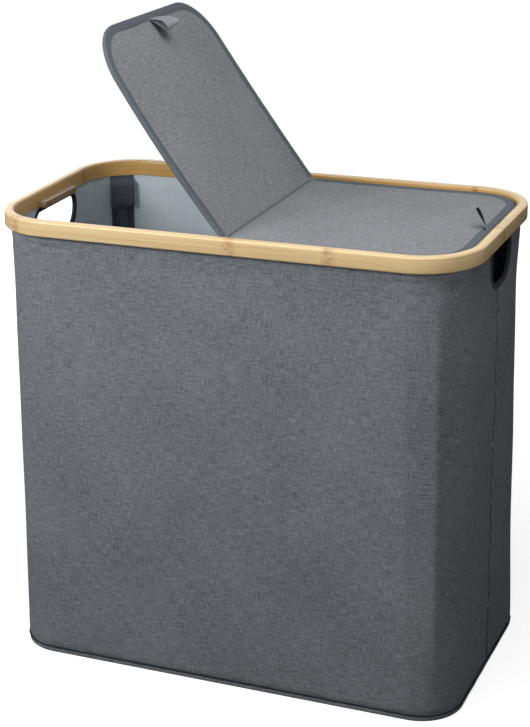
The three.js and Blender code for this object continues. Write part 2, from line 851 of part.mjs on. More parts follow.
corners.forEach(([corner, signX, signY]) => {
  const pieces = [
    [`support_rod_${corner}`, rod(), greySteel],
    [`rod_cap_bottom_${corner}`, rodCap(false), blackPlastic],
    [`rod_cap_top_${corner}`, rodCap(true), blackPlastic],
    [`rod_sleeve_${corner}`, rodSleeve(), greyCloth],
    [`loop_patch_${corner}`, patch(loopPatchInward), blackNylon],
    [`hook_patch_${corner}`, patch(hookPatchInward), blackNylon],
    [`rod_flap_${corner}`, rodFlap(), greyCloth],
  ];
  pieces.forEach(([name, geometry, finish]) => {
    addPart(name, intoCorner(geometry, signX, signY), finish);
  });
});

export default hamper;
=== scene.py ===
# Looks of a laundry hamper with two bins: a bamboo hoop, melange cloth walls, a silver lining, a
# divider and two hinged lids. Metres, +Z up, origin on the floor under the middle of the hamper.
import math
from contextlib import contextmanager

import bmesh
import bpy
import numpy as np
from mathutils import Matrix, Vector


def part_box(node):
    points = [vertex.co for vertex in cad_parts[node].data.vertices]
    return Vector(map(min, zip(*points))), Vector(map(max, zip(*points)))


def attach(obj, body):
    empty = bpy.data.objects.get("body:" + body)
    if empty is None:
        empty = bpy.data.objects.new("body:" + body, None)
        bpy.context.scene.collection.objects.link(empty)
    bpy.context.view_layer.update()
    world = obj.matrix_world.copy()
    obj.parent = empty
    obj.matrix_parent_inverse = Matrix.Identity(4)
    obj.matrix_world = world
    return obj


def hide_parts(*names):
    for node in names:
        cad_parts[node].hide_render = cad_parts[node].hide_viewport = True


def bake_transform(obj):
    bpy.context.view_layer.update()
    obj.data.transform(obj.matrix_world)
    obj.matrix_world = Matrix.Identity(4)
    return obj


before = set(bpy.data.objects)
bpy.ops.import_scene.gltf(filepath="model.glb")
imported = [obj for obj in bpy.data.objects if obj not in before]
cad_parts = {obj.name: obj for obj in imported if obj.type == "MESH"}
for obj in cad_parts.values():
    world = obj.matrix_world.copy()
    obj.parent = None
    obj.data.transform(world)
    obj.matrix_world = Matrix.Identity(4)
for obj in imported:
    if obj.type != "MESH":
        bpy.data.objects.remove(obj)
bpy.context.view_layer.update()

MM = 0.001
QUARTER = math.pi / 2
FULL_TURN = 2 * math.pi

# Sizes of the hamper, as in the solids
HOOP_LOW, HOOP_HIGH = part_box("rim_hoop")
BASE_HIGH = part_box("base_cover")[1]
HOOP_THICKNESS = 13 * MM
HOOP_RADIUS = 78 * MM
HOOP_EDGE = 2.4 * MM
WALL_INSET = 8.5 * MM
HEM_DEPTH = 9 * MM
BASE_RADIUS = 56 * MM
CLOTH = 1.5 * MM
LINING = 0.7 * MM
GAP = 0.3 * MM
LINING_OUTSET = CLOTH + GAP
LINING_INNER = LINING_OUTSET + LINING
RIM_UNDERSIDE = HOOP_LOW.z
HEM_TOP = RIM_UNDERSIDE + HEM_DEPTH
FLOOR_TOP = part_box("floor_cover_left")[1].z
WELT_RADIUS = 1.2 * MM
WELT_CENTRE = sum(corner.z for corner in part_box("base_welt")) / 2
WALL_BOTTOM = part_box("wall_front")[0].z

# The cloth round the left hole is stretched towards the back, and round the right one from the front
HANDLE_SPAN = {"left": (-47 * MM, 58 * MM), "right": (-35 * MM, 48 * MM)}
HANDLE_HIGH = RIM_UNDERSIDE - 8 * MM
HANDLE_LOW = HANDLE_HIGH - 44 * MM
HANDLE_TOP_RADIUS = 10 * MM
HANDLE_BOTTOM_RADIUS = 30 * MM
HANDLE_FLANGE = 6 * MM
SCREW_SPACING = 62 * MM

LID_TOP = 588.5 * MM
FOLD = 9 * MM
LID_THICKNESS = 3.4 * MM
LID_START = 0.9 * MM
LID_END = 285 * MM
LID_HALF = 152.5 * MM
LID_RADIUS = 62 * MM
LID_OPEN = math.radians(54.5)
LID_CORE_INSET = 0.9 * MM
BINDING_WIDTH = 11 * MM
BINDING_START = 3.4 * MM
BINDING_LIFT = 0.9 * MM
TAPE = 0.6 * MM
DIVIDER_HALF = 2.5 * MM

ENDS = {"left": -1, "right": 1}
FACES = {"front": -1, "back": 1}
CORNERS = {f"{end}_{face}": (sx, sy) for end, sx in ENDS.items() for face, sy in FACES.items()}


def srgb(code):
    """An sRGB hex colour as linear red, green, blue and alpha."""
    parts = [int(code[i:i + 2], 16) / 255 for i in (1, 3, 5)]
    return [c / 12.92 if c <= 0.04045 else ((c + 0.055) / 1.055) ** 2.4 for c in parts] + [1.0]


def node(tree, kind, inputs=None, stops=(), **settings):
    """A shader node with its settings. An input takes a value, one output of another node, or another
    node, whose first output in use it then gets. stops are a colour ramp's places and colours."""
    made = tree.nodes.new("ShaderNode" + kind)
    for name, value in settings.items():
        setattr(made, name, value)
    for name, value in (inputs or {}).items():
        socket = next(s for i, s in enumerate(made.inputs) if s.enabled and name in (i, s.name))
        if isinstance(value, bpy.types.Node):
            value = next(output for output in value.outputs if output.enabled)
        if isinstance(value, bpy.types.NodeSocket):
            tree.links.new(value, socket)
        else:
            socket.default_value = value
    for _ in stops[2:]:
        made.color_ramp.elements.new(0.5)
    for index, (place, colour) in enumerate(stops):
        made.color_ramp.elements[index].position = place
        made.color_ramp.elements[index].color = colour
    return made


def new_material(name):
    """A material with an empty node tree."""
    material = bpy.data.materials.new(name)
    material.use_nodes = True
    material.node_tree.nodes.clear()
    return material, material.node_tree


def finish(name, surface, *tones, **settings):
    """A material, named for what the real one is. surface adds its nodes and gives its shader's inputs."""
    material, tree = new_material(name)
    shader = node(tree, "BsdfPrincipled", surface(tree, *tones, **settings))
    node(tree, "OutputMaterial", {"Surface": shader})
    return material


# A wave texture of scale 1 repeats each tenth of pi.
WAVE_TURN = math.pi / 10


def grey(value):
    return [value, value, value, 1]


def streaks(tree, place, along, across, detail=2.0, roughness=0.6, shift=0.0):
    """Noise drawn out to streaks of the given length and width, in metres, over the place's X and Y."""
    mapping = node(tree, "Mapping", {
        "Vector": place,
        "Location": (shift, 2 * shift, 0),
        "Scale": (1 / along, 1 / across, 1 / across),
    })
    return node(tree, "TexNoise", {"Vector": mapping, "Scale": 1.0, "Detail": detail, "Roughness": roughness})


def woven_cloth(tree, dark, light, thread, slub, contrast, relief, mottle=0.25, seam_at=0.0):
    """Plain-woven polyester in melange yarn, matt: each thread is darker or lighter for some way, so
    that the cloth shows short dashes across and up it. thread is drawn wider than the real 0.4 mm one,
    so that it shows, and slub is how far a thread keeps its tone. Where a seam distance is given, that
    far from a panel's middle the cloth turns in to a seam, and painted shade darkens it nearly to black."""
    place = node(tree, "UVMap")
    weft = streaks(tree, place, slub, thread)
    warp = streaks(tree, place, thread, slub * 0.8, shift=3.7)
    threads = node(tree, "Mix", {"Factor": 0.45, "A": weft, "B": warp})
    specks = node(tree, "TexNoise", {
        "Vector": place, "Scale": 0.55 / thread, "Detail": 3.0, "Roughness": 0.7,
    })
    clouds = node(tree, "TexNoise", {"Vector": place, "Scale": 9.0, "Detail": 2.0})
    woven = node(tree, "Mix", {"Factor": mottle, "A": threads, "B": specks})
    tone = node(tree, "Mix", {"Factor": 0.12, "A": woven, "B": clouds})
    tones = [(0.5 - contrast, srgb(dark)), (0.5 + contrast, srgb(light))]
    colour = node(tree, "ValToRGB", {"Fac": tone}, tones)
    # Painted shade: the colour darkens nearly to black towards the seam's groove.
    if seam_at:
        along = node(tree, "SeparateXYZ", {"Vector": place})
        side = node(tree, "Math", {0: along, 1: 1.0, 2: -1.0}, operation="WRAP")
        side = node(tree, "Math", {0: side}, operation="ABSOLUTE")
        shade = node(tree, "MapRange", {
            "Value": side, "From Min": seam_at - 4 * MM, "From Max": seam_at - 1.5 * MM, "To Max": 0.88,
        })
        colour = node(tree, "Mix", {"Factor": shade, "A": colour, "B": srgb("#0c0e11")}, data_type="RGBA")
    bump = node(tree, "Bump", {"Strength": relief, "Distance": 0.4 * MM, "Height": tone})
    return {
        "Base Color": colour, "Normal": bump, "Roughness": 0.95, "Specular IOR Level": 0.12,
        "Sheen Weight": 0.06, "Sheen Roughness": 0.6,
    }


def ribbed_cloth(tree, dark, light, rib, roughness, relief, across="X", specular=0.25, soil=0.3):
    """Cloth with fine ribs a given distance apart along one way of the cloth."""
    place = node(tree, "UVMap")
    ribs = node(tree, "TexWave", {
        "Vector": place, "Scale": WAVE_TURN / rib,
        "Distortion": 0.6, "Detail": 2.0, "Detail Scale": 2.0,
    }, wave_type="BANDS", bands_direction=across).outputs["Fac"]
    along = 60 * MM
    lines = streaks(tree, place, *((rib, along) if across == "X" else (along, rib)))
    clouds = node(tree, "TexNoise", {"Vector": place, "Scale": 14.0, "Detail": 3.0})
    clean = node(tree, "Mix", {"Factor": 0.5, "A": ribs, "B": lines})
    tone = node(tree, "Mix", {"Factor": soil, "A": clean, "B": clouds})
    colour = node(tree, "ValToRGB", {"Fac": tone}, [(0.2, srgb(dark)), (0.8, srgb(light))])
    bump = node(tree, "Bump", {"Strength": relief, "Distance": 0.3 * MM, "Height": ribs})
    return {"Base Color": colour, "Normal": bump, "Roughness": roughness, "Specular IOR Level": specular}


def bamboo(tree, tones):
    """Laminated bamboo strip, sanded and varnished satin: fine straight grain along the strip, a browner
     ring where the cane had a joint, and painted shade, a browner tint, on the inner side."""
    place = node(tree, "Attribute", attribute_name="grain").outputs["Vector"]
    fibres = streaks(tree, place, 120 * MM, 0.9 * MM, detail=3.0)
    broad = streaks(tree, place, 260 * MM, 4.5 * MM, shift=1.3)
    tone = node(tree, "Mix", {"Factor": 0.45, "A": fibres, "B": broad})
    tones = [(share, srgb(code)) for share, code in zip((0.28, 0.5, 0.72), tones)]
    cane = node(tree, "ValToRGB", {"Fac": tone}, tones)
    wander = node(tree, "TexNoise", {"Vector": place, "Scale": 160.0, "Detail": 2.0})
    parts = node(tree, "SeparateXYZ", {"Vector": place})
    moved = node(tree, "Math", {0: wander, 1: 9 * MM, 2: parts}, operation="MULTIPLY_ADD")
    share = node(tree, "MapRange", {"Value": moved, "From Min": -HOOP_ROUND / 2, "From Max": HOOP_ROUND / 2})
    half = 7 * MM / HOOP_ROUND
    wander_middle = 4.5 * MM
    stops = [(0.0, grey(0))]
    for ring in RING_PLACES:
        middle = (ring + wander_middle) / HOOP_ROUND + 0.5
        stops += [(middle - half, grey(0)), (middle, grey(1.0)), (middle + half, grey(0))]
    rings = node(tree, "ValToRGB", {"Fac": share}, stops)
    uneven = node(tree, "MapRange", {
        "Value": wander, "From Min": 0.35, "From Max": 0.62, "To Min": 0.25, "To Max": 0.95,
    })
    blotched = node(tree, "Math", {0: rings, 1: uneven}, operation="MULTIPLY")
    ringed = node(tree, "Mix", {"Factor": blotched, "A": cane, "B": srgb("#b4784a")}, data_type="RGBA")
    # Painted shade: faces marked as inner are multiplied by a browner tint.
    inner = {"Factor": parts.outputs["Z"], "A": grey(1), "B": srgb("#d3c096")}
    sides = node(tree, "Mix", inner, data_type="RGBA")
    both = {"Factor": 1.0, "A": ringed, "B": sides}
    shaded = node(tree, "Mix", both, data_type="RGBA", blend_type="MULTIPLY")
    bump = node(tree, "Bump", {"Strength": 0.25, "Distance": 0.15 * MM, "Height": fibres})
    return {
        "Base Color": shaded, "Normal": bump, "Roughness": 0.42, "Specular IOR Level": 0.4,
        "Coat Weight": 0.45, "Coat Roughness": 0.28,
    }


def pressed_board(tree):
    """Compressed fibre board: brown, matt, with short fibres lying every way."""
    place = node(tree, "TexCoord").outputs["Object"]
    chips = node(tree, "TexNoise", {"Vector": place, "Scale": 700.0, "Detail": 4.0, "Roughness": 0.7})
    colour = node(tree, "ValToRGB", {"Fac": chips}, [(0.3, srgb("#7d5f3d")), (0.7, srgb("#a98a62"))])
    bump = node(tree, "Bump", {"Strength": 0.3, "Distance": 0.2 * MM, "Height": chips})
    return {"Base Color": colour, "Normal": bump, "Roughness": 0.85, "Specular IOR Level": 0.2}


def drawn_steel(tree, dark, light, roughness):
    """Drawn and plated steel: faint scratches that break up the shine."""
    place = node(tree, "TexCoord").outputs["Object"]
    scratches = node(tree, "TexNoise", {"Vector": place, "Scale": 900.0, "Detail": 2.0})
    tone = node(tree, "ValToRGB", {"Fac": scratches}, [(0.3, srgb(dark)), (0.7, srgb(light))])
    uneven = node(tree, "MapRange", {
        "Value": scratches, "To Min": roughness - 0.08, "To Max": roughness + 0.1,
    })
    return {"Base Color": tone, "Roughness": uneven, "Metallic": 1.0}


def moulded_plastic(tree):
    """Moulded polypropylene: near black, with a fine spark-eroded grain."""
    place = node(tree, "TexCoord").outputs["Object"]
    grain = node(tree, "TexNoise", {"Vector": place, "Scale": 1500.0, "Detail": 2.0})
    tone = node(tree, "ValToRGB", {"Fac": grain}, [(0.3, srgb("#17181a")), (0.7, srgb("#232427"))])
    bump = node(tree, "Bump", {"Strength": 0.2, "Distance": 0.1 * MM, "Height": grain})
    return {"Base Color": tone, "Normal": bump, "Roughness": 0.5}


def hook_tape(tree):
    """Knitted nylon hook and loop tape: tiny tufts 1.4 mm apart."""
    place = node(tree, "TexCoord").outputs["Object"]
    tufts = node(tree, "TexVoronoi", {"Vector": place, "Scale": 1 / (1.4 * MM)})
    tone = node(tree, "ValToRGB", {"Fac": tufts}, [(0.1, srgb("#3a3b40")), (0.7, srgb("#17181b"))])
    bump = node(tree, "Bump", {"Strength": 0.8, "Distance": 0.5 * MM, "Height": tufts}, invert=True)
    return {"Base Color": tone, "Normal": bump, "Roughness": 0.9, "Specular IOR Level": 0.15}


def spun_thread(tree, dark, light):
    """Spun polyester sewing thread, which changes tone with its twist."""
    place = node(tree, "TexCoord").outputs["Object"]
    twist = node(tree, "TexNoise", {"Vector": place, "Scale": 1200.0, "Detail": 1.0})
    tone = node(tree, "ValToRGB", {"Fac": twist}, [(0.35, srgb(dark)), (0.65, srgb(light))])
    return {"Base Color": tone, "Roughness": 0.75, "Specular IOR Level": 0.25, "Sheen Weight": 0.1}


HOOP_ROUND = 4 * (HOOP_HIGH.x + HOOP_HIGH.y - 2 * HOOP_RADIUS) + 4 * QUARTER * HOOP_RADIUS
# Joints of the cane, as distances round the hoop to the right of the middle of its front
RING_PLACES = [-0.78, -0.53, -0.27, 0.020, 0.144, 0.43, 0.66]

BAMBOO = finish("bamboo, satin varnish", bamboo, ["#dab176", "#f1d19b", "#f9e4b9"])
# Grip bars: bamboo in a darker tone, partly their own and partly painted shade on the bars in the hoop's
# ends.
DARK_AND_SHADED_BAMBOO = finish("bamboo, darker tone and painted shade, satin varnish", bamboo, ["#8f7454", "#a58a68", "#b9a17e"])
LID_CLOTH = finish("polyester melange, lids", woven_cloth, "#515459", "#b7babf",
                   thread=1.9 * MM, slub=14 * MM, contrast=0.25, relief=0.35, mottle=0.35)
DARK_CLOTH = finish("polyester melange, inner sleeves", woven_cloth, "#2e333b", "#666d77",
                    thread=1.5 * MM, slub=12 * MM, contrast=0.3, relief=0.4)
SILVER_LINING = finish("nonwoven lining, silver grey", ribbed_cloth, "#b0bcc5", "#e0e8ec",
                       rib=2.3 * MM, roughness=0.6, relief=0.5)
DARK_TAPE = finish("polyester binding tape, slate", ribbed_cloth, "#565c62", "#7a8188",
                   rib=1.2 * MM, roughness=0.85, relief=0.4, across="Y", specular=0.15)
HANDLE_TAPE = finish("polyester binding tape, charcoal", ribbed_cloth, "#22262b", "#3a4047",
                     rib=1.2 * MM, roughness=0.9, relief=0.4, across="Y", specular=0.12)
RIBBON = finish("polyester ribbon, grey", ribbed_cloth, "#84888e", "#a6aaaf",
                rib=1.4 * MM, roughness=0.8, relief=0.4, across="Y", specular=0.15)
FIBRE_BOARD = finish("fibre board, pressed", pressed_board)
SCREW_STEEL = finish("steel, yellow zinc plated", drawn_steel, "#8f6f3f", "#b8955c", 0.5)
ROD_STEEL = finish("steel, grey lacquered", drawn_steel, "#6f7377", "#8d9196", 0.4)
BLACK_PLASTIC = finish("polypropylene, moulded black", moulded_plastic)
HOOK_AND_LOOP = finish("nylon hook and loop, black", hook_tape)
SLATE_THREAD = finish("polyester thread, slate", spun_thread, "#4a525c", "#7d8792")
DARK_THREAD = finish("polyester thread, charcoal", spun_thread, "#2a2e34", "#4d535b")
GREY_THREAD = finish("polyester thread, grey", spun_thread, "#5b6066", "#8f959b")


def pick(piece):
    """Selects the piece alone."""
    bpy.ops.object.select_all(action="DESELECT")
    piece.select_set(True)
    bpy.context.view_layer.objects.active = piece


def apply_modifier(piece, kind, **settings):
    modifier = piece.modifiers.new(kind.lower(), kind)
    for name, value in settings.items():
        setattr(modifier, name, value)
    pick(piece)
    bpy.ops.object.modifier_apply(modifier=modifier.name)


def smooth(piece, degrees=40):
    """Shades the piece round, apart from its sharper edges."""
    pick(piece)
    bpy.ops.object.shade_smooth_by_angle(angle=math.radians(degrees))
    return piece


def dress(piece, material, slot, nodes=(), body="root"):
    """Gives the piece its finish, hides the CAD parts that it stands for, and hangs it on the body that
    carries it.
    """
    piece.data.materials.clear()
    piece.data.materials.append(material)
    if nodes:
        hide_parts(*nodes)
    if body:
        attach(piece, body)
    return piece


def link(name, data):
    thing = bpy.data.objects.new(name, data)
    bpy.context.scene.collection.objects.link(thing)
    return thing


def link_mesh(name, points, faces):
    mesh = bpy.data.meshes.new(name)
    mesh.from_pydata(np.asarray(points, float).reshape(-1, 3).tolist(), [], faces)
    mesh.update()
    return link(name, mesh)


@contextmanager
def open_shape(piece):
    """The piece's mesh, open for changes, which go back into it with every face turned outwards."""
    shape = bmesh.new()
    shape.from_mesh(piece.data)
    yield shape
    bmesh.ops.recalc_face_normals(shape, faces=shape.faces)
    shape.to_mesh(piece.data)
    shape.free()


def merge(piece, distance=0.02 * MM):
    """Joins doubled points, and turns every face outwards."""
    with open_shape(piece) as shape:
        bmesh.ops.remove_doubles(shape, verts=shape.verts, dist=distance)


def spread(*parts):
    """Coordinates of unlike shapes as one table of places."""
    return np.stack(np.broadcast_arrays(*parts), axis=-1)


def quads(table):
    return np.stack([table[:-1, :-1], table[:-1, 1:], table[1:, 1:], table[1:, :-1]], axis=-1).reshape(-1, 4)


def grid_piece(name, points, uv, wrap=False, flip=False):
    """A sheet through rows of points. uv is each point's place on the flat cloth, in metres, with one
    more column than points where the columns close into a ring."""
    rows, columns = points.shape[:2]
    index = np.arange(rows * columns).reshape(rows, columns)
    if wrap:
        index = np.concatenate([index, index[:, :1]], axis=1)
    faces, places = quads(index), quads(np.arange(index.size).reshape(index.shape))
    if flip:
        faces, places = faces[:, ::-1], places[:, ::-1]
    piece = link_mesh(name, points, faces.tolist())
    layer = piece.data.uv_layers.new(name="cloth")
    layer.data.foreach_set("uv", uv.reshape(-1, 2)[places.reshape(-1)].astype(np.float32).ravel())
    return piece


def thicken(piece, thickness, offset=0.0):
    apply_modifier(piece, "SOLIDIFY", thickness=thickness, offset=offset)


def make_cloth(name, places, uv, thickness, *dressing, degrees=50, **form):
    """A cloth through rows of places, thickened on both sides of them, and dressed."""
    piece = grid_piece(name, places, spread(*uv), **form)
    thicken(piece, thickness)
    return dress(smooth(piece, degrees), *dressing)


def run_lengths(points):
    """Distance along a line of points, from its first."""
    steps = np.linalg.norm(np.diff(points, axis=0), axis=1)
    return np.concatenate([[0.0], np.cumsum(steps)])


def waves(first, second, size, seed):
    """Smooth random hills, about -1 to 1 high and the given size across, over two coordinates."""
    rng = np.random.default_rng(seed)
    total = 0.0
    for _ in range(14):
        turn, length, phase = (rng.uniform(*span) for span in ((0, FULL_TURN), (0.7, 1.7), (0, FULL_TURN)))
        along = first * math.cos(turn) + second * math.sin(turn)
        total = total + np.sin(FULL_TURN * along / (size * length) + phase)
    return total / 5.0


def near(distance, width):
    return np.exp(-(distance / width) ** 2)


def rise(value, low, high):
    share = np.clip((value - low) / (high - low), 0, 1)
    return share * share * (3 - 2 * share)


def body_size(z):
    """Half length, half depth and corner radius of the cloth body at a height."""
    share = np.minimum(z / RIM_UNDERSIDE, 1)
    return (
        BASE_HIGH.x + (HOOP_HIGH.x - WALL_INSET - BASE_HIGH.x) * share,
        BASE_HIGH.y + (HOOP_HIGH.y - WALL_INSET - BASE_HIGH.y) * share,
        BASE_RADIUS + (HOOP_RADIUS - WALL_INSET - BASE_RADIUS) * share,
    )


def half_round(z, inset, counts):
    """Places and outward ways along the front half of the outline, from the left seam to the right
    one, for a column of heights. Places crowd towards the seams."""
    ends, corners, faces = counts
    z = np.asarray(z, float)[:, None]
    half_length, half_depth, radius = (np.asarray(size) - np.reshape(inset, (-1, 1)) for size in body_size(z))
    radius = np.maximum(radius, 0.5 * MM)
    out = np.linspace(0, 1, ends + 1) ** 1.7
    turn = np.linspace(0, QUARTER, corners + 1)[:-1]
    face = np.linspace(-1, 1, faces + 1)[:-1]
    cos, sin = np.cos(turn), np.sin(turn)
    corner_x, corner_y = half_length - radius, half_depth - radius
    parts = [
        (-half_length, -corner_y * out[:-1], -1, 0),
        (-corner_x - radius * cos, -corner_y - radius * sin, -cos, -sin),
        (corner_x * face, -half_depth, 0, -1),
        (corner_x + radius * sin, -corner_y - radius * cos, sin, -cos),
        (half_length, -corner_y * out[::-1], 1, 0),
    ]
    table = np.concatenate([spread(*part) for part in parts], axis=1)
    return [table[..., i] for i in range(4)]


def along_half(counts, inset=0.0):
    """Distance of each column of half_round from the middle of the front, at middle height."""
    x, y, _, _ = half_round([RIM_UNDERSIDE / 2], inset, counts)
    lengths = run_lengths(np.stack([x[0], y[0]], axis=1))
    return lengths - lengths[-1] / 2


def handle_outline(end, grow, steps=10):
    """A handle hole's outline in Y and Z, and the way out of the hole at each point."""
    front, back = (span + way * grow for span, way in zip(HANDLE_SPAN[end], (-1, 1)))
    high, low = HANDLE_HIGH + grow, HANDLE_LOW - grow
    small, large = HANDLE_TOP_RADIUS + grow, HANDLE_BOTTOM_RADIUS + grow
    rounds = [(back - small, high - small, small), (front + small, high - small, small),
              (front + large, low + large, large), (back - large, low + large, large)]
    corners = []
    for quarter, (y, z, radius) in enumerate(rounds):
        for angle in np.linspace(quarter, quarter + 1, steps + 1) * QUARTER:
            out = np.array([math.cos(angle), math.sin(angle)])
            corners.append(np.concatenate([np.array([y, z]) + radius * out, out]))
    points = []
    for here, following in zip(corners, corners[1:] + corners[:1]):
        parts = max(1, round(math.dist(here[:2], following[:2]) / (4 * MM)))
        points += [here + (following - here) * part / parts for part in range(parts)]
    return np.array(points)[:, :2], np.array(points)[:, 2:]


def cut_handles(piece, grow):
    """Cuts the handle holes through both ends of a closed cloth."""
    for end, sign in ENDS.items():
        outline, _ = handle_outline(end, grow, 6)
        count = len(outline)
        reach = [sign * (HOOP_HIGH.x - 30 * MM), sign * (HOOP_HIGH.x + 30 * MM)]
        points = np.concatenate([np.column_stack([np.full(count, x), outline]) for x in reach])
        sides = [[i, (i + 1) % count, count + (i + 1) % count, count + i] for i in range(count)]
        block = link_mesh("hole", points, sides + [list(range(count))[::-1], list(range(count, 2 * count))])
        merge(block)
        subtract(piece, block)


def subtract(piece, tool):
    apply_modifier(piece, "BOOLEAN", operation="DIFFERENCE", solver="EXACT", object=tool)
    bpy.data.objects.remove(tool)


ROD_ANGLE = math.radians(56)
# How much of the drawing in each corner takes
TENSION = {"left_front": 0.35, "left_back": 0.35, "right_front": 1.5, "right_back": 1.0}


def drawn_in(beyond, z):
    """How far the cloth of a corner is drawn in from its round outline, where it spans straight from
    the rod to the flat walls. beyond is the distance past the rod, towards the end of the hamper."""
    radius = body_size(RIM_UNDERSIDE / 2)[2]
    to_face = np.clip(-beyond / (radius * (QUARTER - ROD_ANGLE)), 0, 1)
    to_end = np.clip(beyond / (radius * ROD_ANGLE * 1.15), 0, 1)
    fade = rise(RIM_UNDERSIDE - z, 2 * MM, 85 * MM) * rise(z, 8 * MM, 170 * MM)
    return fade * 4 * (1.7 * MM * to_face * (1 - to_face) + 3.3 * MM * to_end * (1 - to_end))


def sag(side, z, face):
    """How far the cloth body stands off its round outline, outwards: slow waves from standing taut, and
    straighter spans beside the rods. side is the distance from the middle of the front or back, to the
    right."""
    middle = body_size(RIM_UNDERSIDE / 2)
    rod = middle[0] - middle[2] + middle[2] * (QUARTER - ROD_ANGLE)
    fade = rise(RIM_UNDERSIDE - z, 2 * MM, 50 * MM) * rise(z, 10 * MM, 60 * MM)
    slow = fade * (0.55 * MM * waves(side, z, 230 * MM, 5) + 0.25 * MM * waves(side, 0.5 * z, 90 * MM, 6))
    at_rod = near(np.abs(side) - rod, 22 * MM)
    tension = np.where(side < 0, TENSION[f"left_{face}"], TENSION[f"right_{face}"])
    return slow * (1 - at_rod) - tension * drawn_in(np.abs(side) - rod, z)


END_MIDDLE = float(along_half((6, 24, 6))[-1])
WALL_CLOTH = finish("polyester melange, walls", woven_cloth, "#31363c", "#a8adb4",
                    thread=1.6 * MM, slub=15 * MM, contrast=0.22, relief=0.55, seam_at=END_MIDDLE)
COLUMN_X = 232 * MM


def fold_lean(z):
    """How far right of the middle the divider stands at a height."""
    return FOLD * (z - 2 * MM) / (HOOP_HIGH.z - 2 * MM)


def wall_relief(side, z, face):
    """The outer cloth's folds and seams, on top of its sag."""
    from_seam = END_MIDDLE - np.abs(side)
    top = RIM_UNDERSIDE - z
    fade = rise(top, 1 * MM, 8 * MM) * rise(z, 9 * MM, 16 * MM)
    # Round the handle hole the cloth is sewn flat
    hole = (1 - rise(from_seam, 58 * MM, 70 * MM)) * (1 - rise(HANDLE_LOW - z, 4 * MM, 18 * MM))
    below_hoop = 0.45 * MM * waves(side, 2.6 * z, 60 * MM, 11) * near(top, 26 * MM)
    # A slanting crease at each upper corner
    past = np.abs(side) - COLUMN_X
    crease = -1.1 * MM * near(past, 30 * MM) * near(top - 14 * MM + 0.06 * past, 3.6 * MM)
    crease = crease + 0.7 * MM * near(past - 4 * MM, 34 * MM) * near(top - 7 * MM, 4 * MM)
    crease = crease - 0.7 * MM * near(past - 26 * MM, 16 * MM) * near(top - 24 * MM - 0.2 * past, 3 * MM)
    # The divider's stitches draw the cloth in
    inward = side - fold_lean(z)
    middle = -0.75 * MM * near(inward, 1.2 * MM) + 0.25 * MM * near(np.abs(inward) - 4.5 * MM, 3 * MM)
    middle = middle + 0.3 * MM * near(inward, 8 * MM) * waves(side, 2.2 * z, 34 * MM, 12)
    # The seam up the end lies deep between puckered sides
    gather = waves(0 * side, z, 17 * MM, 15)
    seam = -2.3 * MM * near(from_seam, (2.8 + 0.9 * gather) * MM)
    seam = seam + 0.5 * MM * near(from_seam - 7.5 * MM, 4 * MM)
    pucker = 0.95 * MM * near(from_seam - 3 * MM, 10 * MM) * waves(0.4 * side, z, 19 * MM, 13)
    foot = -1.0 * MM * near(z - WALL_BOTTOM, 3 * MM)
    foot = foot + 0.22 * MM * waves(side, z, 26 * MM, 14) * near(z - 14 * MM, 14 * MM)
    folds = below_hoop + crease + middle + pucker
    return sag(side, z, face) * (1 - 0.8 * hole) + fade * folds * (1 - hole) + seam + foot


def lining_relief(side, z, face):
    """The lining hangs free of the outer cloth's folds, but is pushed in where they come in."""
    return np.minimum(sag(side, z, face), wall_relief(side, z, face))


def turned(points, sign):
    """The front half's points, or the same turned half round for the back."""
    return points if sign < 0 else points * np.array([-1.0, -1.0, 1.0])


def level_rows(*runs):
    """Heights from the first run's start to the hem's top. Each run is a start and how many rows."""
    starts = [start for start, _ in runs] + [HEM_TOP]
    last = len(runs) - 1
    return np.concatenate([np.linspace(start, starts[i + 1], count, endpoint=i == last)
                           for i, (start, count) in enumerate(runs)])


def panel(name, sign, inset, thickness, heights, relief):
    """A front or back cloth from seam to seam, with its share of both handle holes cut out."""
    counts = (26, 26, 150)
    along = along_half(counts, inset)[None]
    x, y, out_x, out_y = half_round(heights, inset, counts)
    high = heights[:, None]
    off = relief(-sign * along, high, "front" if sign < 0 else "back")
    piece = grid_piece(name, turned(spread(x + out_x * off, y + out_y * off, high), sign),
                       spread(along + (2.0 if sign > 0 else 0.0), high))
    thicken(piece, thickness, -1.0)
    cut_handles(piece, TAPE + GAP)
    return smooth(piece, 50)


def make_walls():
    heights = level_rows((WALL_BOTTOM, 14), (40 * MM, 84), (500 * MM, 36), (RIM_UNDERSIDE, 3))
    for face, sign in FACES.items():
        piece = panel(f"wall_cloth_{face}", sign, 0.0, CLOTH, heights, wall_relief)
        dress(piece, WALL_CLOTH, "wall_cloth", [f"wall_{face}"])


def make_linings():
    heights = level_rows((2 * MM, 56), (500 * MM, 14), (RIM_UNDERSIDE, 3))
    for face, sign in FACES.items():
        piece = panel(f"lining_cloth_{face}", sign, LINING_OUTSET, LINING, heights, lining_relief)
        dress(piece, SILVER_LINING, "lining", [f"lining_{face}"])


def body_ring(z, inset, counts):
    """Closed outlines of the body at a column of heights: places, outward ways and distances round."""
    x, y, out_x, out_y = half_round(z, inset, counts)
    along = along_half(counts)
    ring = [np.concatenate([part[:, :-1], -part[:, :-1]], axis=1) for part in (x, y, out_x, out_y)]
    length = along[-1] - along[0]
    return ring, np.concatenate([along[:-1], along + length])


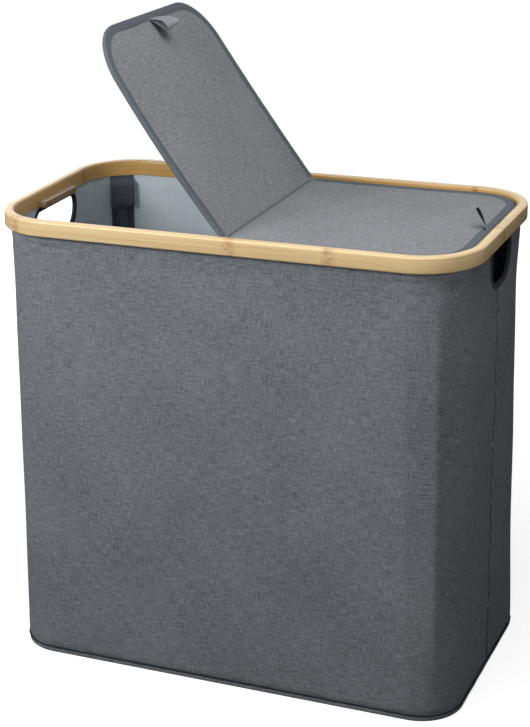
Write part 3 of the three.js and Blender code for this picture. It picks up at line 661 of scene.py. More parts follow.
def make_base():
    """The cloth base is one tray: a low upstand round the edge, and the cloth under the floor boards."""
    rim = [(0.9, 6.2), (0.2, 6.15), (0.0, 5.6), (0.0, 4.0), (0.0, 2.4), (0.25, 1.2), (1.0, 0.35), (2.4, 0.0)]
    under = [8, 20, 40, 70, 100, 130, 150, 160, BASE_HIGH.y / MM - 0.5]
    profile = np.array(rim + [(inset, 0.0) for inset in under]) * MM
    insets, heights = profile.T
    (x, y, out_x, out_y), around = body_ring(heights, insets, (12, 20, 90))
    high = heights[:, None] + 0 * x
    edge = rise(high, 0, 1.5 * MM)
    off = edge * (0.3 * MM * waves(around[None, :-1], 6 * high, 30 * MM, 21) - 0.15 * MM)
    uv = spread(around[None], -run_lengths(profile)[:, None])
    piece = grid_piece("base_tray", spread(x + out_x * off, y + out_y * off, high), uv, wrap=True, flip=True)
    with open_shape(piece) as shape:
        inner = [edge for edge in shape.edges if edge.is_boundary and edge.verts[0].co.z < 1 * MM]
        bmesh.ops.contextual_create(shape, geom=inner)
        bmesh.ops.remove_doubles(shape, verts=shape.verts, dist=0.05 * MM)
    face_out(piece, lowest=True)
    thicken(piece, CLOTH - 0.1 * MM, -1.0)
    dress(smooth(piece, 50), WALL_CLOTH, "wall_cloth", ["base_cover"])


def face_out(piece, lowest):
    """Turns an open shell's faces so that its lowest face looks down, or its highest one up."""
    sense = -1 if lowest else 1
    end = max(piece.data.polygons, key=lambda face: face.center.z * sense)
    if end.normal.z * sense < 0:
        piece.data.flip_normals()


def make_welt():
    """A cord sewn round the foot of the walls."""
    (x, y, out_x, out_y), around = body_ring([WELT_CENTRE], 0.3 * MM, (16, 22, 110))
    sides = 10
    turn = np.linspace(0, FULL_TURN, sides, endpoint=False)[:, None]
    out = WELT_RADIUS * np.cos(turn) + 0.12 * MM * waves(around[None, :-1], 0 * turn, 22 * MM, 31)
    points = spread(x + out_x * out, y + out_y * out, WELT_CENTRE + WELT_RADIUS * np.sin(turn))
    points = np.concatenate([points, points[:1]])
    uv = spread(around[None], np.linspace(0, FULL_TURN * WELT_RADIUS, sides + 1)[:, None])
    piece = grid_piece("base_piping", points, uv, wrap=True, flip=True)
    merge(piece)
    dress(smooth(piece, 60), HANDLE_TAPE, "binding_tape", ["base_welt"])


def half_plate(start, end, half, radius, straight_rows, corner_rows):
    """Rows of a plate that is square at its start and rounded at its end: distance out and half width."""
    out = np.linspace(start, end - radius, straight_rows, endpoint=False)
    turn = np.linspace(0, QUARTER, corner_rows)
    return (np.concatenate([out, end - radius + radius * np.sin(turn)]),
            np.concatenate([half + 0 * out, half - radius + radius * np.cos(turn)]))


def make_floors():
    """A thin cover over each floor board, its edges turned down."""
    edge_low = 2.2 * MM
    for end, sign in ENDS.items():
        half_length, half_depth, radius = (float(size) - LINING_INNER - GAP for size in body_size(FLOOR_TOP))
        out, half = half_plate(DIVIDER_HALF + GAP, half_length, half_depth, radius, 26, 14)
        share = np.linspace(-1, 1, 41)
        x, y = out[:, None] + 0 * share, half[:, None] * share
        from_edge = half[:, None] - np.abs(y)
        crown = 0.35 * MM * waves(x, y, 140 * MM, 41) * rise(from_edge, 0, 20 * MM)
        crown -= 0.6 * MM * (1 - rise(from_edge, 0, 3 * MM))
        points = spread(x * sign, y * sign, FLOOR_TOP + np.minimum(crown, 0.2 * MM))
        piece = grid_piece(f"floor_cloth_{end}", points, spread(y + 4, x + sign), flip=True)
        with open_shape(piece) as shape:
            border = [edge for edge in shape.edges if edge.is_boundary]
            made = bmesh.ops.extrude_edge_only(shape, edges=border)["geom"]
            for vert in (item for item in made if isinstance(item, bmesh.types.BMVert)):
                vert.co.z = edge_low
        face_out(piece, lowest=False)
        thicken(piece, LINING - 0.1 * MM, -1.0)
        dress(smooth(piece, 50), SILVER_LINING, "lining", [f"floor_cover_{end}"])


def make_seam_tapes():
    half = 7 * MM
    for end, sign in ENDS.items():
        low, high = (corner.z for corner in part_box(f"seam_tape_{end}"))
        z = np.linspace(low, high, 60)[:, None]
        y = np.linspace(-half, half, 9)[None]
        inset = LINING_INNER + GAP + 0.3 * MM - 0.25 * MM * near(np.abs(y) - 5 * MM, 1.2 * MM)
        x = sign * (body_size(z)[0] - inset) + 0.12 * MM * waves(y, z, 22 * MM, 51)
        places = spread(x, y + 0.4 * MM * waves(0 * z, z, 60 * MM, 52), z)
        rows, columns = run_lengths(places.mean(axis=1)), run_lengths(places[len(places) // 2])
        uv = columns[None] - columns[-1] / 2, rows[:, None]
        piece = make_cloth(f"seam_tape_cloth_{end}", places, uv, 0.5 * MM, SILVER_LINING, "lining",
                           [f"seam_tape_{end}"])


def make_divider():
    """A cloth folded over a board, which leans from the middle of the floor to the lids' fold."""
    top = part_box("divider_cover")[1].z
    low = 2 * MM
    arc = np.linspace(0, math.pi, 9)
    climb = np.linspace(low, top - DIVIDER_HALF, 60)[:-1]
    x = DIVIDER_HALF * np.concatenate([0 * climb - 1, -np.cos(arc), 0 * climb + 1])
    z = np.concatenate([climb, top - DIVIDER_HALF + DIVIDER_HALF * np.sin(arc), climb[::-1]])
    body_half = body_size(z)[1] - LINING_INNER - GAP
    neck = HOOP_HIGH.y - HOOP_THICKNESS - GAP
    half = np.where(z > RIM_UNDERSIDE - 1 * MM, neck, body_half)
    y = half[:, None] * np.linspace(-1, 1, 61)
    side = np.where(np.abs(x) > DIVIDER_HALF - 0.1 * MM, np.sign(x), 0.0)[:, None]
    puff = 0.25 * MM * waves(y, z[:, None], 120 * MM, 61) * side
    leaning = x - 0.35 * MM * np.sign(x) + FOLD * (z - low) / (top - low)
    lengths = run_lengths(np.stack([x, z], axis=1))
    places = spread(leaning[:, None] + puff, y, z[:, None])
    piece = make_cloth("divider_cloth", places, (y + 7, lengths[:, None]), LINING - 0.1 * MM, SILVER_LINING,
                       "lining", ["divider_cover"], flip=True)


def make_handle_bindings():
    """Tape folded round the edge of each handle hole, through both cloths."""
    wall = LINING_INNER + 0.2 * MM
    # How far past the hole's edge the tape reaches, and how far outside the cloth it lies
    outside = [(HANDLE_FLANGE, 0.42 * MM), (4.6 * MM, 0.6 * MM), (2 * MM, 0.68 * MM), (0.9 * MM, 0.6 * MM)]
    edge = [(0.4 * MM, 0.1 * MM), (0.35 * MM, -0.8 * MM), (0.35 * MM, -1.8 * MM),
            (0.4 * MM, -wall - 0.1 * MM)]
    section = np.array(outside + edge + [(reach, -wall - off) for reach, off in outside[::-1]])
    reach, off = section[:, :1], section[:, 1:]
    for end, sign in ENDS.items():
        outline, outs = handle_outline(end, 0.0, 8)
        around = run_lengths(np.concatenate([outline, outline[:1]]))
        uneven = 0.25 * MM * waves(around[:-1], 0 * reach, 26 * MM, 71 + sign)
        uneven = uneven * rise(reach, 3 * MM, HANDLE_FLANGE)
        y, z = (outline.T[i] + outs.T[i] * (reach + uneven) for i in range(2))
        x = sign * (body_size(z)[0] + off + 0.15 * MM * waves(y, z, 20 * MM, 73))
        uv = around[None], run_lengths(section)[:, None]
        piece = make_cloth(f"handle_tape_{end}", spread(x, y, z), uv, 0.55 * MM, HANDLE_TAPE, "binding_tape",
                           [f"handle_binding_{end}"], degrees=55, wrap=True, flip=sign < 0)


def hoop_distance(x, y):
    """Distance round the hoop's outer edge from the middle of its front, rightwards, of the nearest place."""
    corner_x, corner_y = HOOP_HIGH.x - HOOP_RADIUS, HOOP_HIGH.y - HOOP_RADIUS
    quarter = QUARTER * HOOP_RADIUS
    ahead = y < 0
    side = np.abs(x)
    turn = np.arctan2(np.abs(y) - corner_y, side - corner_x)
    in_corner = (side > corner_x) & (np.abs(y) > corner_y)
    on_end = (side > corner_x) & ~in_corner
    from_front = np.where(in_corner, corner_x + (QUARTER - turn) * HOOP_RADIUS, side)
    from_front = np.where(on_end, corner_x + quarter + corner_y - np.abs(y), from_front)
    half = HOOP_ROUND / 2
    whole = np.where(ahead, from_front, half - from_front)
    return np.sign(x + 1e-12) * whole


def add_grain_and_inner_shade(piece, distance):
    """Keeps each face corner's place along the strip of cane and its place across it, for the grain, and
     whether it lies on the inner side, for the painted shade there."""
    mesh = piece.data
    attribute = mesh.attributes.new("grain", "FLOAT_VECTOR", "CORNER")
    values = np.zeros((len(mesh.loops), 3), np.float32)
    for face in mesh.polygons:
        middle = distance(np.array([face.center.x]), np.array([face.center.y]))[0]
        ahead = face.center - face.normal * 1 * MM
        # Faces that look inwards are marked for painted shade.
        inner = rise(ring_inset(face.center) - ring_inset(ahead), 0.3 * MM, 0.9 * MM)
        for loop in face.loop_indices:
            co = mesh.vertices[mesh.loops[loop].vertex_index].co
            along = distance(np.array([co.x]), np.array([co.y]))[0]
            along -= HOOP_ROUND * round((along - middle) / HOOP_ROUND)
            values[loop] = (along, co.z - ring_inset(co), inner)
    attribute.data.foreach_set("vector", values.ravel())


def select(piece, mode, chosen):
    """Selects, in edit mode, the edges or faces that the test picks."""
    bpy.ops.mesh.select_mode(type=mode)
    bpy.ops.mesh.select_all(action="DESELECT")
    shape = bmesh.from_edit_mesh(piece.data)
    for item in shape.edges if mode == "EDGE" else shape.faces:
        if chosen(item):
            item.select = True
    bmesh.update_edit_mesh(piece.data)


def is_level(edge):
    return abs(edge.verts[0].co.z - edge.verts[1].co.z) < 0.1 * MM


def bevel_edges(piece, chosen, offset, segments):
    select(piece, "EDGE", chosen)
    bpy.ops.mesh.bevel(offset=offset, segments=segments, affect="EDGES")


def extrude(x, y, z):
    """Draws the selected faces out by a way."""
    bpy.ops.mesh.extrude_region_move(TRANSFORM_OT_translate={"value": (x, y, z)})


def add_primitive(name, add, **settings):
    bpy.ops.object.select_all(action="DESELECT")
    add(**settings)
    piece = bpy.context.object
    piece.name = name
    bpy.ops.object.transform_apply(location=True, rotation=True, scale=True)
    return piece


def start_primitive(name, add, **settings):
    """A primitive of the given size and place, open in edit mode."""
    piece = add_primitive(name, add, **settings)
    bpy.ops.object.mode_set(mode="EDIT")
    return piece


def end_primitive(piece, degrees=35):
    bpy.ops.mesh.select_all(action="SELECT")
    bpy.ops.mesh.remove_doubles(threshold=0.01 * MM)
    bpy.ops.mesh.normals_make_consistent(inside=False)
    bpy.ops.object.mode_set(mode="OBJECT")
    return smooth(piece, degrees)


def make_hoop():
    """A strip of cane bent to a rounded oblong, with a groove under it for the hem of the cloth."""
    foot = (0, 0, RIM_UNDERSIDE)
    piece = start_primitive("bamboo_hoop", bpy.ops.mesh.primitive_plane_add, size=1, location=foot)
    bpy.ops.transform.resize(value=(2 * HOOP_HIGH.x, 2 * HOOP_HIGH.y, 1), center_override=foot)
    bpy.ops.mesh.select_mode(type="VERT")
    bpy.ops.mesh.bevel(offset=HOOP_RADIUS, segments=28, affect="VERTICES")
    bpy.ops.mesh.select_mode(type="FACE")
    outer, groove = WALL_INSET - GAP, LINING_INNER + 2 * GAP
    for width in (outer, groove, HOOP_THICKNESS - outer - groove):
        bpy.ops.mesh.inset(thickness=width, use_even_offset=True)
    bpy.ops.mesh.delete(type="FACE")
    bpy.ops.mesh.select_all(action="SELECT")
    extrude(0, 0, HOOP_HIGH.z - RIM_UNDERSIDE)
    bpy.ops.mesh.select_all(action="SELECT")
    bpy.ops.mesh.normals_make_consistent(inside=False)

    def in_groove(face):
        middle = face.calc_center_median()
        at_foot = middle.z < RIM_UNDERSIDE + 1 * MM and abs(face.normal.z) > 0.9
        return at_foot and outer < ring_inset(middle) < outer + groove

    select(piece, "FACE", in_groove)
    extrude(0, 0, HEM_DEPTH + GAP)

    def rounded(edge):
        insets = [ring_inset(vert.co) for vert in edge.verts]
        height = edge.verts[0].co.z
        outside = max(insets) < 0.3 * MM
        inside = min(insets) > HOOP_THICKNESS - 0.3 * MM
        at_top = height > HOOP_HIGH.z - 0.1 * MM and (outside or inside)
        at_foot = height < RIM_UNDERSIDE + 0.1 * MM and outside
        return is_level(edge) and (at_top or at_foot)

    bevel_edges(piece, rounded, HOOP_EDGE, 4)
    end_primitive(piece, 40)
    add_grain_and_inner_shade(piece, hoop_distance)
    dress(piece, BAMBOO, "bamboo", ["rim_hoop"])


def ring_inset(point):
    """How far a place lies inside the hoop's outer edge, in plan."""
    beyond_x = abs(point.x) - (HOOP_HIGH.x - HOOP_RADIUS)
    beyond_y = abs(point.y) - (HOOP_HIGH.y - HOOP_RADIUS)
    if beyond_x > 0 and beyond_y > 0:
        return HOOP_RADIUS - math.hypot(beyond_x, beyond_y)
    return HOOP_RADIUS - max(beyond_x, beyond_y)


def make_grips():
    """Short bars of cane inside the ends of the hoop, held by two screws each, their heads sunk in."""
    bore_radius, bore_depth, bore_middle = 3.5 * MM, 6 * MM, 0.7 * MM
    corner_round, edge_round = 6 * MM, 1.1 * MM
    for end, sign in ENDS.items():
        low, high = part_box(f"grip_bar_{end}")
        size, middle = high - low, (high + low) / 2
        inner_x = high.x if sign < 0 else low.x
        piece = start_primitive(f"bamboo_grip_{end}", bpy.ops.mesh.primitive_cube_add, size=1,
                                location=middle, scale=size)

        def depths(edge):
            return [abs(vert.co.x - inner_x) for vert in edge.verts]

        bevel_edges(piece, lambda e: not is_level(e) and max(depths(e)) < 0.1 * MM, corner_round, 8)
        bevel_edges(piece, lambda e: is_level(e) and min(depths(e)) < size.x - 0.1 * MM, edge_round, 3)
        end_primitive(piece, 40)
        for y in (-SCREW_SPACING / 2, SCREW_SPACING / 2):
            place = (inner_x - sign * bore_middle, y, middle.z)
            subtract(piece, add_primitive("counterbore", bpy.ops.mesh.primitive_cylinder_add, vertices=28,
                                          radius=bore_radius, depth=bore_depth,
                                          rotation=(0, QUARTER, 0), location=place))
        smooth(piece, 40)
        add_grain_and_inner_shade(piece, lambda x, y: y * np.sign(x))
        # The darker grip finish is partly painted shade.
        dress(piece, DARK_AND_SHADED_BAMBOO, "bamboo", [f"grip_bar_{end}"])


def make_screws():
    """Pan-head wood screws: a domed head with a cross recess over a plain shank."""
    recess, arm, slit = 2.4 * MM, 3.6 * MM, 0.7 * MM
    head, tip = 2 * MM, 3 * MM
    head_radius, shank_radius = 3.2 * MM, 1.6 * MM
    for end, sign in ENDS.items():
        for face in FACES:
            low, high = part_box(f"grip_screw_{end}_{face}")
            _, y, z = (low + high) / 2
            head_x = high.x if sign < 0 else low.x
            length = high.x - low.x - head
            piece = start_primitive(f"grip_screw_head_{end}_{face}", bpy.ops.mesh.primitive_cylinder_add,
                                    vertices=32, radius=head_radius, depth=head, rotation=(0, QUARTER, 0),
                                    location=(head_x + sign * head / 2, y, z))
            select(piece, "FACE", lambda f: f.normal.x * sign > 0.9)
            bpy.ops.mesh.inset(thickness=head_radius - shank_radius)
            extrude(sign * (length - tip), 0, 0)
            extrude(sign * tip, 0, 0)
            point = (head_x + sign * (length + head), y, z)
            bpy.ops.transform.resize(value=(1, 0.1, 0.1), center_override=point)
            bevel_edges(piece, lambda e: all(abs(v.co.x - head_x) < 0.01 * MM for v in e.verts), 0.8 * MM, 3)
            bpy.ops.object.mode_set(mode="OBJECT")
            for size in ((recess, arm, slit), (recess, slit, arm)):
                subtract(piece, add_primitive("slot", bpy.ops.mesh.primitive_cube_add, size=1,
                                              location=(head_x, y, z), scale=size))
            merge(piece)
            dress(smooth(piece, 35), SCREW_STEEL, "screw_steel", [f"grip_screw_{end}_{face}"])


# How far each lid sags between its ends, in its middle, and how much more along its front edge
LID_BOW = {"left": (3.45 * MM, 1.35 * MM), "right": (1.2 * MM, 0.0)}
# How far the front free corner of each lid is drawn out and curls up
LID_CURL = {"left": (3 * MM, 2.8 * MM), "right": (0.0, 0.0)}


def to_lid(end, points):
    """Carries places on a lid that lies shut on the right, measured from its fold, to where that lid
    rests: the right one shut, the left one standing open."""
    points = np.asarray(points, float)
    x, y, z = points[..., 0], points[..., 1], points[..., 2]
    sign = ENDS[end]
    middle, front = LID_BOW[end]
    z = z - (middle - front * sign * y / LID_HALF) * np.sin(math.pi * np.clip(x / LID_END, 0, 1))
    curl = np.clip(x / LID_END, 0, 1) ** 2 * (0.5 - sign * y / (2 * LID_HALF))
    x, z = x + LID_CURL[end][0] * curl, z + LID_CURL[end][1] * curl
    angle = LID_OPEN if end == "left" else 0.0
    out = x * math.cos(angle) - z * math.sin(angle)
    up = x * math.sin(angle) + z * math.cos(angle)
    return np.stack([FOLD + sign * out, sign * y, LID_TOP + up], axis=-1)


def make_lid_boards():
    for end in ENDS:
        out, half = half_plate(LID_START + TAPE + GAP, LID_END - LID_CORE_INSET, LID_HALF - LID_CORE_INSET,
                               LID_RADIUS - LID_CORE_INSET, 30, 12)
        share = np.linspace(-1, 1, 25)
        x, y = out[:, None] + 0 * share, half[:, None] * share
        make_cloth(f"lid_board_{end}_bowed", to_lid(end, spread(x, y, -LID_THICKNESS / 2)), (y, x), 1.6 * MM,
                   FIBRE_BOARD, "fibre_board", [f"lid_board_{end}"], f"lid_{end}", degrees=40, flip=True)


def make_lid_covers():
    """One cloth for each lid, folded round its board at the hinge and open along the bound edges."""
    bend = 1.4 * MM
    start = LID_START + GAP + bend
    for end, sign in ENDS.items():
        out, half = half_plate(start, LID_END - LID_CORE_INSET, LID_HALF - LID_CORE_INSET,
                               LID_RADIUS - LID_CORE_INSET, 60, 14)
        arc = np.linspace(-QUARTER, QUARTER, 9)[1:-1]
        x = np.concatenate([out[::-1], start - bend * np.cos(arc), out])[:, None]
        under, over = 0 * out - LID_THICKNESS + GAP, 0 * out - GAP
        z = np.concatenate([under, -LID_THICKNESS / 2 + bend * np.sin(arc), over])[:, None]
        width = np.concatenate([half[::-1], 0 * arc + half[0], half])[:, None]
        y = width * np.linspace(-1, 1, 91)
        x = x + 0 * y
        side = np.where(z > -LID_THICKNESS / 2, 1.0, -1.0)
        inside = rise(np.minimum(width - np.abs(y), LID_END - x), BINDING_WIDTH - 2 * MM, 24 * MM)
        inside = inside * rise(x, 2 * MM, 9 * MM)
        z = z + side * inside * (0.35 * MM + 0.22 * MM * waves(x, y, 90 * MM, 81 + sign))
        lengths = run_lengths(spread(x[:, 45], z[:, 45]))
        piece = make_cloth(f"lid_cloth_{end}", to_lid(end, spread(x, y, z)), (y + 9 + sign, lengths[:, None]),
                           TAPE - 0.1 * MM, LID_CLOTH, "lid_cloth", [f"lid_cover_{end}"], f"lid_{end}")


def lid_edge(inset, from_x=BINDING_START, steps=20, straight=60):
    """Places and outward ways along a lid's front, free and back edges, drawn in by inset."""
    half, end, radius = LID_HALF - inset, LID_END - inset, LID_RADIUS - inset
    run = np.linspace(from_x, end - radius, straight, endpoint=False)
    turn = np.linspace(-QUARTER, 0, steps, endpoint=False)
    across = np.linspace(radius - half, half - radius, 44, endpoint=False)
    back = np.linspace(0, QUARTER, steps, endpoint=False)
    home = np.linspace(end - radius, from_x, straight)

    def corner(angle, y):
        out_x, out_y = np.cos(angle), np.sin(angle)
        return end - radius + radius * out_x, y + radius * out_y, out_x, out_y

    parts = [(run, -half, 0, -1), corner(turn, radius - half), (end, across, 1, 0),
             corner(back, half - radius), (home, half, 0, 1)]
    table = np.concatenate([spread(*part) for part in parts])
    return table[:, :2], table[:, 2:]


def make_lid_bindings():
    """Slate tape folded over the raw edges of each lid."""
    high, low = BINDING_LIFT - 0.3 * MM, -LID_THICKNESS - BINDING_LIFT + 0.3 * MM
    # How far past the lid's edge the tape lies, and its height over the lid
    over = [(-BINDING_WIDTH, 0.15 * MM), (-BINDING_WIDTH + 1.2 * MM, 0.42 * MM), (-8.6 * MM, 0.5 * MM),
            (-7.8 * MM, 0.42 * MM), (-6.8 * MM, 0.58 * MM), (-4 * MM, high)]
    edge = [(-1.8 * MM, high), (-0.8 * MM, high - 0.25 * MM), (-0.35 * MM, high - 0.9 * MM)]
    middle = [(-0.3 * MM, (high + low) / 2)]
    edge_under = [(out, high + low - up) for out, up in edge[::-1]]
    under = [(-5 * MM, low), (-BINDING_WIDTH + 1.2 * MM, low + 0.1 * MM),
             (-BINDING_WIDTH, -LID_THICKNESS - 0.15 * MM)]
    section = np.array(over + edge + middle + edge_under + under)
    out = section[:, :1]
    places, outs = lid_edge(0.0)
    around = run_lengths(places)
    for end, sign in ENDS.items():
        uneven = 0.3 * MM * waves(around, 0 * out, 40 * MM, 91 + sign) * rise(-out, 6 * MM, BINDING_WIDTH)
        x, y = (places[:, i] + outs[:, i] * (out + uneven) for i in range(2))
        z = section[:, 1:] + 0.1 * MM * waves(around, out, 26 * MM, 93)
        z = np.where(z > 0, np.minimum(z, 0.1 * x - 0.25 * MM), z)
        uv = around[None], run_lengths(section)[:, None]
        piece = make_cloth(f"lid_tape_{end}", to_lid(end, spread(x, y, z)), uv, 0.5 * MM, DARK_TAPE,
                           "binding_tape", [f"lid_binding_{end}"], f"lid_{end}", degrees=60, flip=True)


# The front and back corners of each pull tab's foot and tip, on its lid as it lies shut on the right
TAB_WIDTH = 20 * MM
TAB_FEET = {"left": ((276, 1, 0.7), (276, -19, 0.7)), "right": ((282, -18.8, 1.4), (275.3, -0.2, 0.7))}
TAB_TIPS = {"left": ((251, 0, 15), (255, -21, 26)), "right": ((268.4, -18.9, 28), (261, -0.3, 28))}
TAB_GAPE = {"left": 4.4 * MM, "right": 2.3 * MM}
TAB_BEND = {"left": 4 * MM, "right": 1 * MM}


def between(start, end, share):
    return start + (end - start) * share


def make_tabs():
    """A ribbon doubled to a loop, which is sewn down by its two ends, and gapes towards its round tip
    and its front edge."""
    for end in ENDS:
        feet, tips = np.array(TAB_FEET[end]) * MM, np.array(TAB_TIPS[end]) * MM
        length = np.linalg.norm(tips - feet, axis=1).mean()
        gape = TAB_GAPE[end]
        climb = np.linspace(0, 1 - gape / length, 25)
        open_by = gape * (0.14 + 0.86 * rise(climb, 0.0, 0.75 * climb[-1]))
        turn = np.linspace(0, math.pi, 13)[1:-1]
        across = np.concatenate([open_by, gape * np.cos(turn), -open_by[::-1]])[:, None, None]
        up = np.concatenate([climb, climb[-1] + gape / length * np.sin(turn), climb[::-1]])[:, None, None]
        share = np.linspace(0, 1, 15)[None, :, None]
        flat = between(between(feet[0], tips[0], up), between(feet[1], tips[1], up), share)
        width = between(feet[1] - feet[0], tips[1] - tips[0], up)
        rising = between(tips[0] - feet[0], tips[1] - feet[1], share)
        out = np.cross(width, rising)
        out = out / np.linalg.norm(out, axis=2, keepdims=True)
        points = flat + out * across * (1 - 0.86 * share)
        points[..., 2] += TAB_BEND[end] * 4 * (up * (1 - up))[..., 0]
        points[..., 2] = np.maximum(points[..., 2], 0.55 * MM)
        lengths = run_lengths(points[:, 7])
        uv = (share[..., 0] - 0.5) * TAB_WIDTH, lengths[:, None]
        piece = make_cloth(f"lid_ribbon_{end}", to_lid(end, points), uv, 0.6 * MM, RIBBON, "lid_cloth",
                           [f"lid_tab_{end}"], f"lid_{end}", degrees=60)


def make_hinge():
    """Each lid hangs on a strip of cloth that comes up out of the divider's seam and folds over to it."""
    low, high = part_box("lid_hinge_web")
    out = np.array([0.5, 0.5, 0.55, 0.6, 1.0, 1.9, 3.0, 4.2, 5.4])[:, None] * MM
    up = np.array([(low.z - LID_TOP) / MM, -3.0, -1.8, -0.9, -0.4, -0.1, 0.05, 0.15, 0.2])[:, None] * MM
    inward = np.linspace(-high.y, high.y, 90)[None]
    pucker = 0.12 * MM * waves(inward, 3 * out, 14 * MM, 97) * rise(out, 0.6 * MM, 2 * MM)
    local = spread(out, inward, up + pucker)
    share = rise(up + 0 * inward, -1.9 * MM, -0.5 * MM)[..., None]
    for end, sign in ENDS.items():
        upright = local * np.array([sign, sign, 1]) + np.array([FOLD, 0, LID_TOP])
        points = between(upright, to_lid(end, local), share)
        uv = inward, run_lengths(points[:, 45])[:, None]
        piece = make_cloth(f"lid_fold_{end}", points, uv, 0.4 * MM, LID_CLOTH, "lid_cloth", ["lid_hinge_web"],
                           None, degrees=60)
        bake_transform(piece)


ROD_RADIUS = 2.2 * MM
CAP_RADIUS = 3 * MM
CAP_LENGTH = 12 * MM
ROD_INSET = GAP + CAP_RADIUS
ROD_LOW = FLOOR_TOP + GAP
ROD_HIGH = RIM_UNDERSIDE - 9 * MM
SLEEVE_HALF = 16 * MM
SLEEVE_LOW = FLOOR_TOP + 25 * MM
SLEEVE_HIGH = RIM_UNDERSIDE - 26 * MM
FLAP_HALF = 16.5 * MM
FLAP_LENGTH = 38 * MM
FLAP_ROOT = RIM_UNDERSIDE - 4 * MM
FLAP_ROOT_GAP = 2.9 * MM
PATCH = 0.8 * MM
CROWN = ROD_INSET + ROD_RADIUS + GAP
LOOP_INWARD = CROWN + LINING + GAP
HOOK_INWARD = LOOP_INWARD + PATCH + GAP
FLAP_INWARD = HOOK_INWARD + PATCH + GAP


def in_corner(along, inward, z, tension=0.0):
    """A place in the back right corner: distance round it, distance in from the lining, and height."""
    along, inward, z = np.broadcast_arrays(along, inward, z)
    half_length, half_depth, size = body_size(z)
    radius = size - LINING_INNER
    angle = ROD_ANGLE + along / radius
    reach = radius - inward - tension * drawn_in(-along, z)
    return spread(half_length - size + reach * np.cos(angle), half_depth - size + reach * np.sin(angle), z)


FLAP_PLACE = in_corner(0, 0, FLAP_ROOT)
FLAP_UP = FLAP_PLACE - in_corner(0, 0, SLEEVE_LOW)
FLAP_UP = FLAP_UP / np.linalg.norm(FLAP_UP)
FLAP_ACROSS = np.array([math.sin(ROD_ANGLE), -math.cos(ROD_ANGLE), 0])
FLAP_IN = np.cross(FLAP_ACROSS, FLAP_UP)


def on_flap(across, inward, up):
    """A place measured from the flap's root: along its width, in from the lining, and up it."""
    across, inward, up = (part[..., None] for part in np.broadcast_arrays(across, inward, up))
    return FLAP_PLACE + across * FLAP_ACROSS + inward * FLAP_IN + up * FLAP_UP


def into(corner, points):
    sx, sy = CORNERS[corner]
    return points * np.array([sx, sy, 1.0])


def make_rods():
    """Drawn steel rods with a moulded cap on each end."""
    foot, head = in_corner(0, ROD_INSET, ROD_LOW), in_corner(0, ROD_INSET, ROD_HIGH)
    floor = 2.5 * MM
    for corner in CORNERS:
        low, high = Vector(into(corner, foot)), Vector(into(corner, head))
        way = (high - low).normalized()
        turn = Vector((0, 0, 1)).rotation_difference(way).to_euler().to_matrix().to_4x4()
        piece = start_primitive(f"steel_rod_{corner}", bpy.ops.mesh.primitive_cylinder_add, vertices=24,
                                radius=ROD_RADIUS, depth=(high - low).length - 2 * (floor + GAP))
        bevel_edges(piece, is_level, 0.4 * MM, 2)
        end_primitive(piece)
        piece.data.transform(Matrix.Translation((low + high) / 2) @ turn)
        dress(piece, ROD_STEEL, "rod_steel", [f"support_rod_{corner}"])
        over = Matrix.Rotation(math.pi, 4, "X")
        for level, place, sense, spin in (("bottom", low, 1, turn), ("top", high, -1, turn @ over)):
            cap = start_primitive(f"plastic_cap_{level}_{corner}", bpy.ops.mesh.primitive_cylinder_add,
                                  vertices=28, radius=CAP_RADIUS, depth=CAP_LENGTH)
            select(cap, "FACE", lambda f: f.normal.z > 0.9)
            bpy.ops.mesh.inset(thickness=CAP_RADIUS - ROD_RADIUS - GAP)
            extrude(0, 0, floor - CAP_LENGTH)

            def outer(edge):
                reach = min(math.hypot(vert.co.x, vert.co.y) for vert in edge.verts)
                return is_level(edge) and reach > CAP_RADIUS - 0.1 * MM

            bevel_edges(cap, outer, 0.55 * MM, 3)
            end_primitive(cap)
            cap.data.transform(Matrix.Translation(place + way * (sense * CAP_LENGTH / 2)) @ spin)
            dress(cap, BLACK_PLASTIC, "cap_plastic", [f"rod_cap_{level}_{corner}"])


def make_sleeves():
    """Cloth channels sewn down on both sides of the rods, with turned hems at their two ends."""
    hem_height, hem_lift = 8 * MM, 0.25 * MM
    along = np.linspace(-SLEEVE_HALF, SLEEVE_HALF, 45)[None]
    low, high = SLEEVE_LOW + 12 * MM, SLEEVE_HIGH - 12 * MM
    z = np.concatenate([np.linspace(SLEEVE_LOW, low, 8, endpoint=False),
                        np.linspace(low, high, 90, endpoint=False),
                        np.linspace(high, SLEEVE_HIGH, 9)])[:, None]
    crown = 1 - rise(np.abs(along), 3.6 * MM, 9 * MM)
    hem = hem_lift * ((SLEEVE_HIGH - z < hem_height) | (z - SLEEVE_LOW < hem_height))
    for number, corner in enumerate(CORNERS):
        slack = crown * 0.5 * MM * (waves(along, z, 45 * MM, 101 + number) - 1)
        slack = np.maximum(slack + 0.1 * MM * waves(along, z, 16 * MM, 103), -1.1 * MM)
        inward = GAP + 0.35 * MM + (CROWN - GAP + 0.3 * MM + slack) * crown + hem
        points = into(corner, in_corner(along, inward, z, TENSION[corner]))
        piece = make_cloth(f"sleeve_cloth_{corner}", points, (along + number, z), 0.6 * MM, DARK_CLOTH,
                           "wall_cloth", [f"rod_sleeve_{corner}"], degrees=60)


